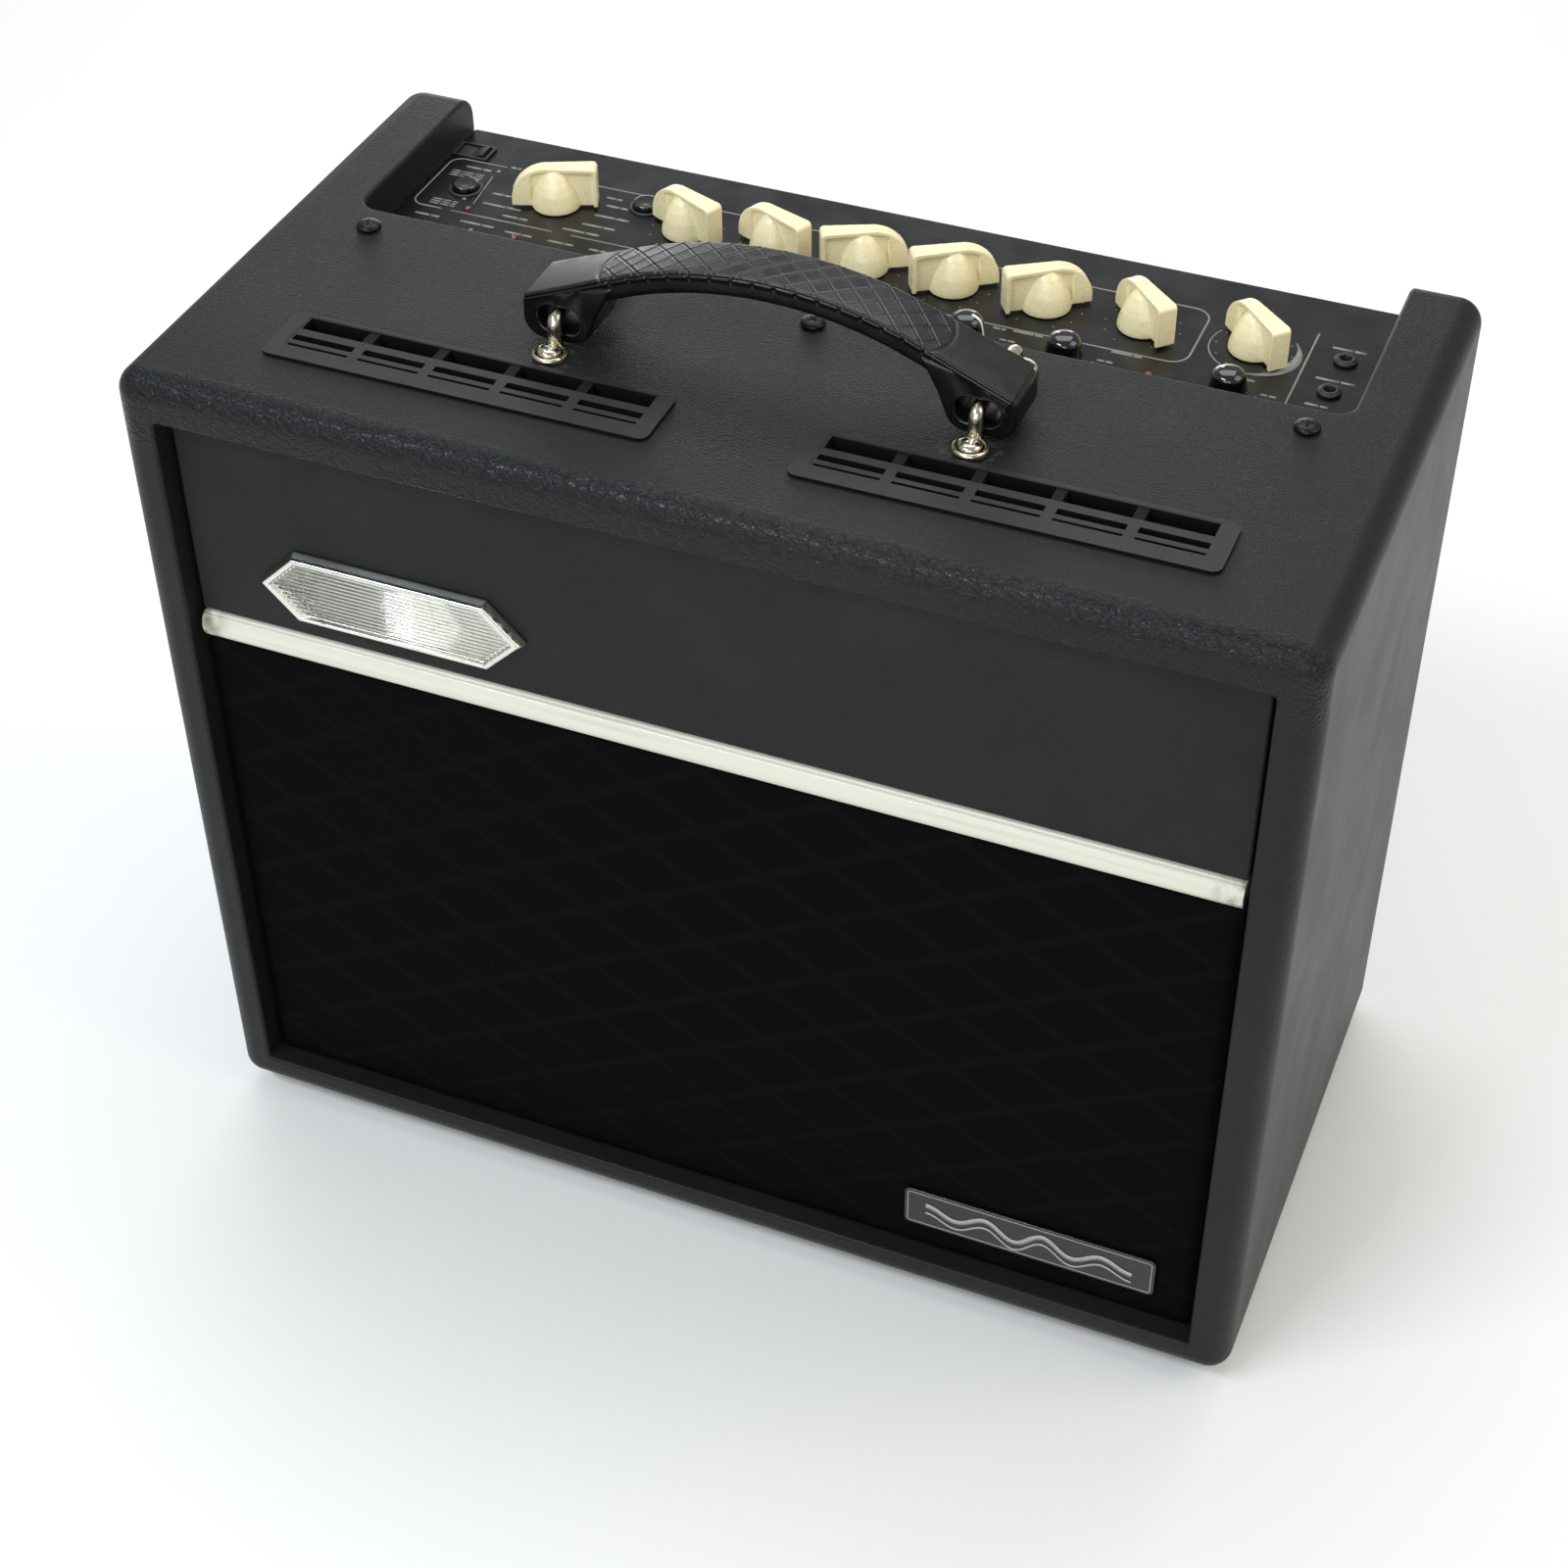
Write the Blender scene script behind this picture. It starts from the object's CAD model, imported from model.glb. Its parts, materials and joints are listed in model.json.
import json
import math
import random

import bmesh
import bpy
from mathutils import Matrix, Vector


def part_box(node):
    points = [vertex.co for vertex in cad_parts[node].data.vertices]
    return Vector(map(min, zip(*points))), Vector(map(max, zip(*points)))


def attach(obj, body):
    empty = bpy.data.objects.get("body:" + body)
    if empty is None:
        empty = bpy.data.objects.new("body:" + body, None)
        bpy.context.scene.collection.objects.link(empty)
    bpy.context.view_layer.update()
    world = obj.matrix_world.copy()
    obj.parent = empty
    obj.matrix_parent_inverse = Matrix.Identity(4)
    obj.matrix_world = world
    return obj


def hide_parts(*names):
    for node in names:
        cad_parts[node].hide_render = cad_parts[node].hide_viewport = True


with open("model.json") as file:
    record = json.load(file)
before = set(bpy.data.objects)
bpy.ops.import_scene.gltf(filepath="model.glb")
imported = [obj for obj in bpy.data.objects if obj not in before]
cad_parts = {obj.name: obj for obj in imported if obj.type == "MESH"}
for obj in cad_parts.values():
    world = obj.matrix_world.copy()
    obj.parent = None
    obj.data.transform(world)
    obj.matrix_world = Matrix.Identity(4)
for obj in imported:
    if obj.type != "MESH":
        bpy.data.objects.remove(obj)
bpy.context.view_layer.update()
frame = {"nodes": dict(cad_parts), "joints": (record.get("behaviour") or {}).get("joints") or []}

MM = 0.001
SCENE = bpy.context.scene

# ---------------------------------------------------------------- places taken from the frame
LEFT_LOW, LEFT_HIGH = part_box("left_side_panel")
RIGHT_LOW, RIGHT_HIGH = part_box("right_side_panel")
TOP_LOW, TOP_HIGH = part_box("top_panel")
BOTTOM_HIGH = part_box("bottom_panel")[1]
FASCIA_LOW, FASCIA_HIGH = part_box("front_fascia")
PANEL_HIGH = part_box("control_panel")[1]
TOP = TOP_HIGH.z
JOINTS = {joint["name"]: joint for joint in frame["joints"]}

MAIN_CONTROLS = [
    "amp_selector", "gain", "volume", "treble", "middle", "bass", "effect", "power_level",
]
SMALL_CONTROLS = ["noise", "depth", "reverb"]
TURN_START = -60  # where a control's lower stop points, in degrees from +X
TURN_RANGE = 300  # degrees from the lower stop to the upper one


def joint_point(joint):
    return Vector(JOINTS[joint]["pos_m"])


def pointer_angle(control):
    """Where the control points at rest, in radians from +X towards +Y."""
    return math.radians(TURN_START - JOINTS[f"{control}_turn"]["range_deg"][0])


# ---------------------------------------------------------------- materials
def linear(red, green, blue, alpha=1.0):
    """A screen colour, 0 to 255, as the linear colour that a shader takes."""
    def channel(value):
        value /= 255
        return value / 12.92 if value <= 0.04045 else ((value + 0.055) / 1.055) ** 2.4
    return (channel(red), channel(green), channel(blue), alpha)


class Look:
    """A Principled material and short calls for the nodes that give it its detail."""

    def __init__(self, name, colour, roughness, metallic=0.0, **sockets):
        self.material = bpy.data.materials.new(name)
        self.material.use_nodes = True
        self.tree = self.material.node_tree
        self.shader = self.tree.nodes["Principled BSDF"]
        self.base = linear(*colour)
        self.shader.inputs["Base Color"].default_value = self.base
        self.shader.inputs["Roughness"].default_value = roughness
        self.shader.inputs["Metallic"].default_value = metallic
        for socket, value in sockets.items():
            self.shader.inputs[socket.replace("_", " ")].default_value = value
        self.place = self.tree.nodes.new("ShaderNodeTexCoord").outputs["Object"]
        self.normal = None

    def feed(self, socket, value):
        if isinstance(value, bpy.types.NodeSocket):
            self.tree.links.new(value, socket)
        else:
            socket.default_value = value

    def stretched(self, stretch, turn=(0, 0, 0)):
        node = self.tree.nodes.new("ShaderNodeMapping")
        node.inputs["Rotation"].default_value = [math.radians(angle) for angle in turn]
        node.inputs["Scale"].default_value = stretch
        self.feed(node.inputs["Vector"], self.place)
        return node.outputs["Vector"]

    def noise(self, scale, detail=3.0, vector=None, distortion=0.0):
        node = self.tree.nodes.new("ShaderNodeTexNoise")
        node.inputs["Scale"].default_value = scale
        node.inputs["Detail"].default_value = detail
        node.inputs["Distortion"].default_value = distortion
        self.feed(node.inputs["Vector"], vector or self.place)
        return node.outputs["Fac"]

    def cells(self, scale, feature="DISTANCE_TO_EDGE", vector=None):
        node = self.tree.nodes.new("ShaderNodeTexVoronoi")
        node.feature = feature
        node.inputs["Scale"].default_value = scale
        self.feed(node.inputs["Vector"], vector or self.place)
        return node.outputs["Distance"]

    def bands(self, scale, axis, vector=None, distortion=0.0):
        """Smooth stripes across an axis, X, Y, Z or DIAGONAL."""
        node = self.tree.nodes.new("ShaderNodeTexWave")
        node.bands_direction = axis
        node.inputs["Scale"].default_value = scale
        node.inputs["Distortion"].default_value = distortion
        self.feed(node.inputs["Vector"], vector or self.place)
        return node.outputs["Fac"]

    def warped(self, scale, amount):
        """The surface's own place, pushed about by a noise."""
        node = self.tree.nodes.new("ShaderNodeTexNoise")
        node.inputs["Scale"].default_value = scale
        self.feed(node.inputs["Vector"], self.place)
        push = self.tree.nodes.new("ShaderNodeVectorMath")
        push.operation = "MULTIPLY_ADD"
        self.feed(push.inputs[0], node.outputs["Color"])
        push.inputs[1].default_value = (amount, amount, amount)
        self.feed(push.inputs[2], self.place)
        return push.outputs["Vector"]

    def math(self, operation, first, second=0.0):
        node = self.tree.nodes.new("ShaderNodeMath")
        node.operation = operation
        self.feed(node.inputs[0], first)
        self.feed(node.inputs[1], second)
        return node.outputs["Value"]

    def map(self, value, low, high, to_low=0.0, to_high=1.0):
        """value from low to high becomes to_low to to_high, smoothly and no further."""
        node = self.tree.nodes.new("ShaderNodeMapRange")
        node.interpolation_type = "SMOOTHSTEP"
        self.feed(node.inputs["Value"], value)
        node.inputs["From Min"].default_value = low
        node.inputs["From Max"].default_value = high
        node.inputs["To Min"].default_value = to_low
        node.inputs["To Max"].default_value = to_high
        return node.outputs["Result"]

    def along(self, axis):
        """The place along X, Y or Z, in metres."""
        node = self.tree.nodes.new("ShaderNodeSeparateXYZ")
        self.feed(node.inputs["Vector"], self.place)
        return node.outputs[axis]

    def tint(self, factor, colour):
        """Where factor is 1, the colour so far gives way to this one."""
        node = self.tree.nodes.new("ShaderNodeMix")
        node.data_type = "RGBA"
        self.feed(node.inputs["Factor"], factor)
        self.feed(node.inputs[6], self.base)
        self.feed(node.inputs[7], linear(*colour))
        self.base = node.outputs[2]
        self.feed(self.shader.inputs["Base Color"], self.base)
        return self

    def gloss(self, factor, smooth, rough):
        self.feed(self.shader.inputs["Roughness"], self.map(factor, 0.3, 0.7, smooth, rough))
        return self

    def bump(self, height, depth, strength=1.0):
        """Raises the surface by up to depth metres."""
        node = self.tree.nodes.new("ShaderNodeBump")
        node.inputs["Distance"].default_value = depth
        node.inputs["Strength"].default_value = strength
        self.feed(node.inputs["Height"], height)
        if self.normal:
            self.feed(node.inputs["Normal"], self.normal)
        self.normal = node.outputs["Normal"]
        self.feed(self.shader.inputs["Normal"], self.normal)
        return self


def leather_grain(look, depth=0.14 * MM):
    """The creased grain pressed into vinyl covering."""
    creased = look.warped(420, 0.0016)
    look.bump(look.noise(60, 3), 0.1 * MM, 0.25)
    look.bump(look.map(look.cells(700, vector=creased), 0.0, 0.16), depth, 0.5)
    look.bump(look.noise(1500, 2), 0.05 * MM, 0.6)
    return look


EYELET_X = 78.5 * MM
EYELET_Y = -48.9 * MM
RUBBED_INSIDE = 6 * MM
RUBBED_OUTSIDE = 13 * MM


def vinyl_look():
    """Grained vinyl, cracked and worn smooth at the front top edge, rubbed round the front eyelets."""
    look = leather_grain(Look("vinyl", (25, 27, 28), 0.38, Specular_IOR_Level=0.17))
    near_edge = look.math("MULTIPLY", look.map(look.along("Y"), -0.113, -0.1, 1.0, 0.0),
                          look.map(look.along("Z"), 0.33, 0.35))
    cracks = look.cells(1.0, vector=look.stretched((210, 420, 420)))
    cracked = look.math("MULTIPLY", look.map(cracks, 0.0, 0.16, 1.0, 0.0), near_edge)
    look.bump(look.math("SUBTRACT", 1.0, cracked), 0.24 * MM, 0.9)
    across = look.math("SUBTRACT", look.math("ABSOLUTE", look.along("X")), EYELET_X)
    ahead = look.math("SUBTRACT", look.along("Y"), EYELET_Y)
    away = look.math("ADD", look.math("MULTIPLY", across, across), look.math("MULTIPLY", ahead, ahead))
    rubbed = look.math("MULTIPLY", look.map(away, RUBBED_INSIDE ** 2, RUBBED_OUTSIDE ** 2, 1.0, 0.0),
                       look.map(look.noise(330, 4), 0.5, 0.62))
    look.tint(rubbed, (66, 68, 66))
    look.tint(look.map(look.noise(9, 3), 0.42, 0.7), (30, 31, 31))
    look.tint(look.map(look.noise(900, 2), 0.66, 0.75, 0.0, 0.25), (70, 70, 66))
    worn_smooth = look.map(near_edge, 0.0, 1.0, 1.0, 0.66)
    uneven = look.map(look.noise(28, 3), 0.3, 0.7, 0.37, 0.42)
    look.feed(look.shader.inputs["Roughness"], look.math("MULTIPLY", uneven, worn_smooth))
    return look


def fascia_look():
    look = leather_grain(Look("fascia_vinyl", (27, 29, 28), 0.6, Specular_IOR_Level=0.2), 0.1 * MM)
    look.tint(look.map(look.noise(14, 3), 0.4, 0.7), (32, 34, 32))
    return look.gloss(look.noise(40, 3), 0.54, 0.66)


def raw_board_look():
    look = Look("raw_board", (96, 74, 52), 0.85)
    look.tint(look.map(look.noise(420, 4), 0.4, 0.62), (134, 108, 78))
    look.tint(look.map(look.cells(240, "F1"), 0.0, 0.5, 0.5, 0.0), (74, 55, 38))
    return look.bump(look.noise(600, 3), 0.3 * MM, 0.6)


def painted_board_look():
    look = Look("painted_board", (22, 22, 23), 0.8)
    look.tint(look.map(look.noise(60, 4), 0.5, 0.75), (36, 34, 32))
    return look.bump(look.noise(900, 3), 0.15 * MM, 0.7)


def grille_cloth_look():
    look = Look("grille_cloth", (5, 6, 7), 0.9, Specular_IOR_Level=0.05)
    across = look.bands(330, "X")
    upright = look.bands(330, "Z")
    weave = look.math("MULTIPLY", across, upright)
    look.tint(look.map(weave, 0.3, 0.9, 0.0, 0.6), (14, 15, 17))
    lattice = look.stretched((1, 1, 1.7), (0, 45, 0))
    crossing = look.math("MAXIMUM", look.bands(9, "X", lattice), look.bands(9, "Z", lattice))
    look.tint(look.map(crossing, 0.9, 1.0, 0.0, 0.2), (20, 21, 24))
    return look.bump(weave, 0.25 * MM, 0.8)


def trim_look():
    look = Look("trim", (214, 212, 198), 0.36, Coat_Weight=0.15)
    streaks = look.stretched((9, 400, 400))
    look.tint(look.map(look.noise(1.0, 4, streaks), 0.5, 0.78, 0.0, 0.5), (170, 166, 148))
    ends = look.map(look.math("ABSOLUTE", look.along("X")), 0.187, 0.2015)
    smudge = look.math("MULTIPLY", ends, look.map(look.noise(160, 4), 0.35, 0.65))
    look.tint(smudge, (112, 104, 86))
    look.gloss(look.noise(90, 3, streaks), 0.3, 0.45)
    return look.bump(look.noise(1.6, 3, streaks), 0.06 * MM, 0.6)


def chrome_look():
    look = Look("chrome", (222, 222, 216), 0.1, 1.0)
    look.tint(look.map(look.noise(300, 4), 0.55, 0.8, 0.0, 0.5), (160, 160, 152))
    look.gloss(look.noise(500, 3), 0.07, 0.2)
    return look.bump(look.noise(900, 2), 0.015 * MM, 0.4)


def nickel_look():
    look = Look("nickel", (206, 198, 180), 0.18, 1.0)
    look.tint(look.map(look.noise(500, 4), 0.55, 0.8, 0.0, 0.6), (150, 138, 116))
    look.gloss(look.noise(700, 3), 0.12, 0.3)
    return look.bump(look.noise(1400, 2), 0.02 * MM, 0.5)


def gloss_plate_look():
    look = Look("gloss_plate", (13, 14, 16), 0.18, Coat_Weight=0.3)
    look.gloss(look.noise(260, 3), 0.14, 0.28)
    return look.bump(look.noise(300, 2), 0.02 * MM, 0.5)


def silver_print_look():
    look = Look("silver_print", (168, 168, 162), 0.45, 0.35)
    look.tint(look.map(look.noise(1500, 3), 0.5, 0.7, 0.0, 0.5), (116, 116, 110))
    return look.bump(look.noise(2500, 2), 0.01 * MM, 0.5)


def panel_ink_look():
    look = Look("panel_ink", (128, 130, 124), 0.5)
    look.tint(look.map(look.noise(1500, 3), 0.5, 0.7, 0.0, 0.5), (92, 93, 88))
    return look.bump(look.noise(2500, 2), 0.01 * MM, 0.5)


def rubber_look():
    look = Look("rubber", (24, 24, 25), 0.75)
    look.tint(look.map(look.noise(200, 4), 0.5, 0.8), (42, 41, 39))
    return look.bump(look.noise(1200, 3), 0.08 * MM, 0.7)


def basket_look():
    look = Look("basket", (34, 35, 37), 0.42, 0.6)
    look.tint(look.map(look.noise(120, 4), 0.5, 0.75, 0.0, 0.5), (60, 61, 62))
    return look.bump(look.noise(1100, 3), 0.05 * MM, 0.6)


def cone_paper_look():
    look = Look("cone_paper", (31, 31, 32), 0.92)
    look.tint(look.map(look.noise(700, 5), 0.45, 0.7), (54, 52, 50))
    return look.bump(look.noise(900, 5), 0.2 * MM, 0.8)


def ferrite_look():
    look = Look("ferrite", (44, 45, 48), 0.6, 0.1)
    look.tint(look.map(look.noise(260, 4), 0.5, 0.75), (66, 66, 68))
    return look.bump(look.noise(1600, 3), 0.06 * MM, 0.7)


def zinc_look():
    look = Look("zinc", (150, 153, 156), 0.4, 0.9)
    look.tint(look.map(look.noise(55, 4), 0.4, 0.62, 0.0, 0.4), (178, 181, 183))
    look.gloss(look.noise(90, 4), 0.34, 0.48)
    return look.bump(look.noise(700, 3), 0.02 * MM, 0.5)


def lead_look(name, colour):
    look = Look(name, colour, 0.4)
    look.tint(look.map(look.noise(300, 3), 0.5, 0.8, 0.0, 0.4), (58, 52, 50))
    return look.bump(look.noise(700, 2), 0.05 * MM, 0.5)


def panel_look():
    look = Look("panel", (17, 18, 19), 0.26, Specular_IOR_Level=0.36)
    look.tint(look.map(look.noise(1300, 3), 0.5, 0.75, 0.0, 0.4), (27, 28, 29))
    look.gloss(look.noise(60, 3), 0.22, 0.3)
    return look.bump(look.noise(900, 3), 0.02 * MM, 0.5)


def circuit_board_look():
    look = Look("circuit_board", (24, 84, 50), 0.45)
    look.tint(look.map(look.bands(120, "Y", distortion=6), 0.7, 0.8), (40, 112, 66))
    return look.bump(look.cells(500), 0.05 * MM, 0.5)


def transformer_look():
    look = Look("transformer", (84, 82, 80), 0.5, 0.7)
    look.tint(look.bands(260, "Z"), (44, 43, 42))
    return look.bump(look.bands(260, "Z"), 0.1 * MM, 0.8)


def glass_look():
    look = Look("tube_glass", (214, 222, 222), 0.06, Transmission_Weight=0.85)
    look.tint(look.map(look.noise(60, 3), 0.55, 0.8, 0.0, 0.7), (60, 62, 64))
    return look.bump(look.noise(80, 2), 0.05 * MM, 0.3)


def socket_look():
    look = Look("socket_plastic", (24, 25, 26), 0.5)
    look.tint(look.map(look.noise(500, 3), 0.5, 0.8), (38, 39, 40))
    return look.bump(look.noise(1800, 2), 0.04 * MM, 0.7)


def led_look():
    look = Look("led_lens", (104, 14, 16), 0.14, Coat_Weight=0.5)
    look.tint(look.map(look.noise(900, 2), 0.5, 0.8), (66, 6, 9))
    return look


def cream_look():
    look = Look("cream_plastic", (246, 233, 188), 0.3, Coat_Weight=0.25, Subsurface_Weight=0.02)
    look.shader.inputs["Subsurface Radius"].default_value = (2 * MM, 1.4 * MM, 0.8 * MM)
    look.tint(look.map(look.noise(900, 4), 0.45, 0.75, 0.0, 0.5), (224, 208, 160))
    look.tint(look.map(look.noise(90, 3), 0.5, 0.8, 0.0, 0.3), (222, 204, 156))
    look.gloss(look.noise(400, 3), 0.24, 0.4)
    return look.bump(look.noise(1300, 3), 0.04 * MM, 0.6)


def black_knob_look():
    look = Look("black_knob", (9, 9, 10), 0.1, Coat_Weight=0.6, Coat_Roughness=0.04)
    look.gloss(look.noise(240, 3), 0.07, 0.16)
    return look.bump(look.noise(400, 2), 0.01 * MM, 0.4)


def white_mark_look():
    look = Look("white_mark", (232, 232, 226), 0.4)
    look.tint(look.map(look.noise(1800, 3), 0.5, 0.8, 0.0, 0.4), (196, 194, 182))
    return look.bump(look.noise(2500, 2), 0.01 * MM, 0.4)


def vent_look():
    look = Look("vent_plastic", (15, 16, 17), 0.4, Specular_IOR_Level=0.4)
    look.tint(look.map(look.noise(260, 4), 0.5, 0.8, 0.0, 0.6), (24, 25, 25))
    look.gloss(look.noise(120, 3), 0.34, 0.46)
    return look.bump(look.noise(1700, 2), 0.05 * MM, 0.8)


def vent_inside_look():
    look = Look("vent_inside", (5, 5, 6), 0.7, Specular_IOR_Level=0.2)
    look.tint(look.map(look.noise(300, 3), 0.5, 0.8), (9, 9, 9))
    return look.bump(look.noise(1200, 2), 0.05 * MM, 0.6)


def handle_look():
    look = Look("handle_rubber", (8, 9, 10), 0.28, Specular_IOR_Level=0.5)
    look.tint(look.map(look.noise(300, 4), 0.5, 0.8, 0.0, 0.7), (17, 18, 19))
    look.gloss(look.noise(140, 3), 0.24, 0.34)
    return look.bump(look.noise(1500, 3), 0.03 * MM, 0.6)


def black_screw_look():
    look = Look("black_screw", (36, 37, 38), 0.34, 0.85)
    look.tint(look.map(look.noise(700, 4), 0.55, 0.75, 0.0, 0.7), (92, 90, 86))
    return look.gloss(look.noise(900, 3), 0.26, 0.46)


LOOKS = {
    "vinyl": (vinyl_look(), "black_vinyl"),
    "fascia": (fascia_look(), "black_vinyl"),
    "raw_board": (raw_board_look(), "fibreboard"),
    "painted_board": (painted_board_look(), "fibreboard"),
    "grille_cloth": (grille_cloth_look(), "grille_fabric"),
    "trim": (trim_look(), "trim_plastic"),
    "chrome": (chrome_look(), "badge_chrome"),
    "gloss_plate": (gloss_plate_look(), "nameplate_plastic"),
    "silver_print": (silver_print_look(), "nameplate_plastic"),
    "panel_ink": (panel_ink_look(), "panel_gloss"),
    "rubber": (rubber_look(), "foot_rubber"),
    "basket": (basket_look(), "basket_steel"),
    "cone_paper": (cone_paper_look(), "cone_paper"),
    "ferrite": (ferrite_look(), "magnet_ferrite"),
    "zinc": (zinc_look(), "chassis_steel"),
    "red_lead": (lead_look("red_lead", (150, 26, 22)), "lead_rubber"),
    "black_lead": (lead_look("black_lead", (22, 22, 23)), "lead_rubber"),
    "panel": (panel_look(), "panel_gloss"),
    "circuit_board": (circuit_board_look(), "circuit_board"),
    "transformer": (transformer_look(), "transformer_iron"),
    "tube_glass": (glass_look(), "tube_glass"),
    "socket": (socket_look(), "socket_plastic"),
    "led": (led_look(), "led_red"),
    "cream": (cream_look(), "knob_cream"),
    "black_knob": (black_knob_look(), "knob_black"),
    "white_mark": (white_mark_look(), "knob_black"),
    "vent": (vent_look(), "vent_plastic"),
    "vent_inside": (vent_inside_look(), "vent_plastic"),
    "handle": (handle_look(), "handle_rubber"),
    "nickel": (nickel_look(), "bracket_nickel"),
    "black_screw": (black_screw_look(), "screw_black"),
}


# ---------------------------------------------------------------- mesh building
def link(name, mesh):
    obj = bpy.data.objects.new(name, mesh)
    SCENE.collection.objects.link(obj)
    return obj


def mesh_from(bm, name="mesh"):
    """Closes the bmesh into a smooth mesh whose faces point out."""
    bmesh.ops.remove_doubles(bm, verts=bm.verts, dist=0.001 * MM)
    bmesh.ops.recalc_face_normals(bm, faces=bm.faces)
    mesh = bpy.data.meshes.new(name)
    bm.to_mesh(mesh)
    bm.free()
    mesh.polygons.foreach_set("use_smooth", [True] * len(mesh.polygons))
    return mesh


def piece(name, mesh, look, body="cabinet", stands_for=(), matrix=None):
    """A shown piece of the object, from a bmesh or a mesh."""
    if isinstance(mesh, bmesh.types.BMesh):
        mesh = mesh_from(mesh, name)
    looks = [look] if isinstance(look, str) else look
    if not any(mesh.materials):
        slots = [min(polygon.material_index, len(looks) - 1) for polygon in mesh.polygons]
        mesh.materials.clear()
        for one in looks:
            mesh.materials.append(LOOKS[one][0].material)
        mesh.polygons.foreach_set("material_index", slots)
    obj = link(name, mesh)
    if matrix:
        obj.matrix_world = matrix
        bpy.context.view_layer.update()
    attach(obj, body)
    if stands_for:
        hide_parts(*stands_for)
    return obj


def soften(obj, width, segments=3, angle=35):
    """Rounds the sharp edges and keeps flat faces flat."""
    bevel = obj.modifiers.new("edges", "BEVEL")
    bevel.width = width
    bevel.segments = segments
    bevel.limit_method = "ANGLE"
    bevel.angle_limit = math.radians(angle)
    bevel.miter_outer = "MITER_ARC"
    weighted = obj.modifiers.new("normals", "WEIGHTED_NORMAL")
    weighted.keep_sharp = True
    return obj


def flattened(obj):
    """Replaces the object's mesh by what its modifiers make of it."""
    evaluated = obj.evaluated_get(bpy.context.evaluated_depsgraph_get())
    mesh = bpy.data.meshes.new_from_object(evaluated)
    obj.modifiers.clear()
    obj.data = mesh
    return obj


def combined(mesh, others, operation="DIFFERENCE", solver="EXACT"):
    """The mesh with the other meshes cut out of it, or joined to it."""
    base = link("boolean_base", mesh)
    tools = []
    for other in others:
        tool = link("boolean_tool", other)
        tools.append(tool)
        modifier = base.modifiers.new("boolean", "BOOLEAN")
        modifier.operation = operation
        modifier.solver = solver
        modifier.object = tool
    flattened(base)
    result = base.data
    for obj in [base, *tools]:
        bpy.data.objects.remove(obj)
    result.polygons.foreach_set("use_smooth", [True] * len(result.polygons))
    return result


def flat(u, v, w):
    return Vector((u, v, w))


def upright(u, v, w):
    """An outline drawn in x and z, with its depth along y."""
    return Vector((u, w, v))


def sideways(u, v, w):
    """An outline drawn in y and z, with its depth along x."""
    return Vector((w, u, v))


def loft(layers, place=flat, bm=None):
    """A closed body through (outline, depth) layers that have as many points each."""
    bm = bm or bmesh.new()
    rings = [[bm.verts.new(place(u, v, depth)) for u, v in outline] for outline, depth in layers]
    bm.faces.new(rings[0])
    bm.faces.new(rings[-1])
    for near, far in zip(rings, rings[1:]):
        for index, vertex in enumerate(near):
            following = (index + 1) % len(near)
            bm.faces.new((vertex, near[following], far[following], far[index]))
    return bm


def prism(outline, low, high, place=flat, bm=None):
    """A closed prism of an outline between two depths, all in metres."""
    return loft([(outline, low), (outline, high)], place, bm)


def block(low, high, bm=None):
    outline = [(low[0], low[1]), (high[0], low[1]), (high[0], high[1]), (low[0], high[1])]
    return prism(outline, low[2], high[2], bm=bm)


def arc(centre, radius, start, end, steps):
    """Points on a circle from one angle to another, in degrees."""
    points = []
    for step in range(steps + 1):
        angle = math.radians(start + (end - start) * step / steps)
        points.append((centre[0] + radius * math.cos(angle), centre[1] + radius * math.sin(angle)))
    return points


def rounded_rectangle(u0, u1, v0, v1, radius, steps=6):
    """Anticlockwise from the lower left corner; radius may be one for each corner."""
    radii = radius if isinstance(radius, (list, tuple)) else [radius] * 4
    corners = [(u0, v0, 1, 1), (u1, v0, -1, 1), (u1, v1, -1, -1), (u0, v1, 1, -1)]
    outline = []
    for index, ((u, v, su, sv), r) in enumerate(zip(corners, radii)):
        outline += arc((u + su * r, v + sv * r), r, 180 + 90 * index, 270 + 90 * index, steps)
    return outline


def lathe(profile, centre=(0, 0, 0), axis="z", segments=64, bm=None):
    """Turns [radius, along] pairs that start and end on the axis about it, closed all round."""
    bm = bm or bmesh.new()
    centre = Vector(centre)
    rings = []
    for radius, along in profile:
        ring = []
        for index in range(segments if radius > 0 else 1):
            angle = 2 * math.pi * index / segments
            u, v = radius * math.cos(angle), radius * math.sin(angle)
            point = {"x": (along, u, v), "y": (u, along, v), "z": (u, v, along)}[axis]
            ring.append(bm.verts.new(centre + Vector(point)))
        rings.append(ring)
    pairs = list(zip(rings, rings[1:]))
    if profile[0][0] > 0:
        pairs.append((rings[-1], rings[0]))
    for near, far in pairs:
        for index in range(segments):
            following = (index + 1) % segments
            face = [near[index % len(near)], near[following % len(near)],
                    far[following % len(far)], far[index % len(far)]]
            corners = list(dict.fromkeys(face))
            if len(corners) > 2:
                bm.faces.new(corners)
    return bm


def smooth_path(points, steps=8):
    """A Catmull-Rom curve through the points."""
    points = [Vector(point) for point in points]
    ends = [2 * points[0] - points[1], *points, 2 * points[-1] - points[-2]]
    path = []
    for a, b, c, d in zip(ends, ends[1:], ends[2:], ends[3:]):
        for step in range(steps):
            t = step / steps
            path.append(0.5 * (2 * b + (c - a) * t + (2 * a - 5 * b + 4 * c - d) * t * t
                               + (3 * b - a - 3 * c + d) * t ** 3))
    return [*path, points[-1]]


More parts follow.
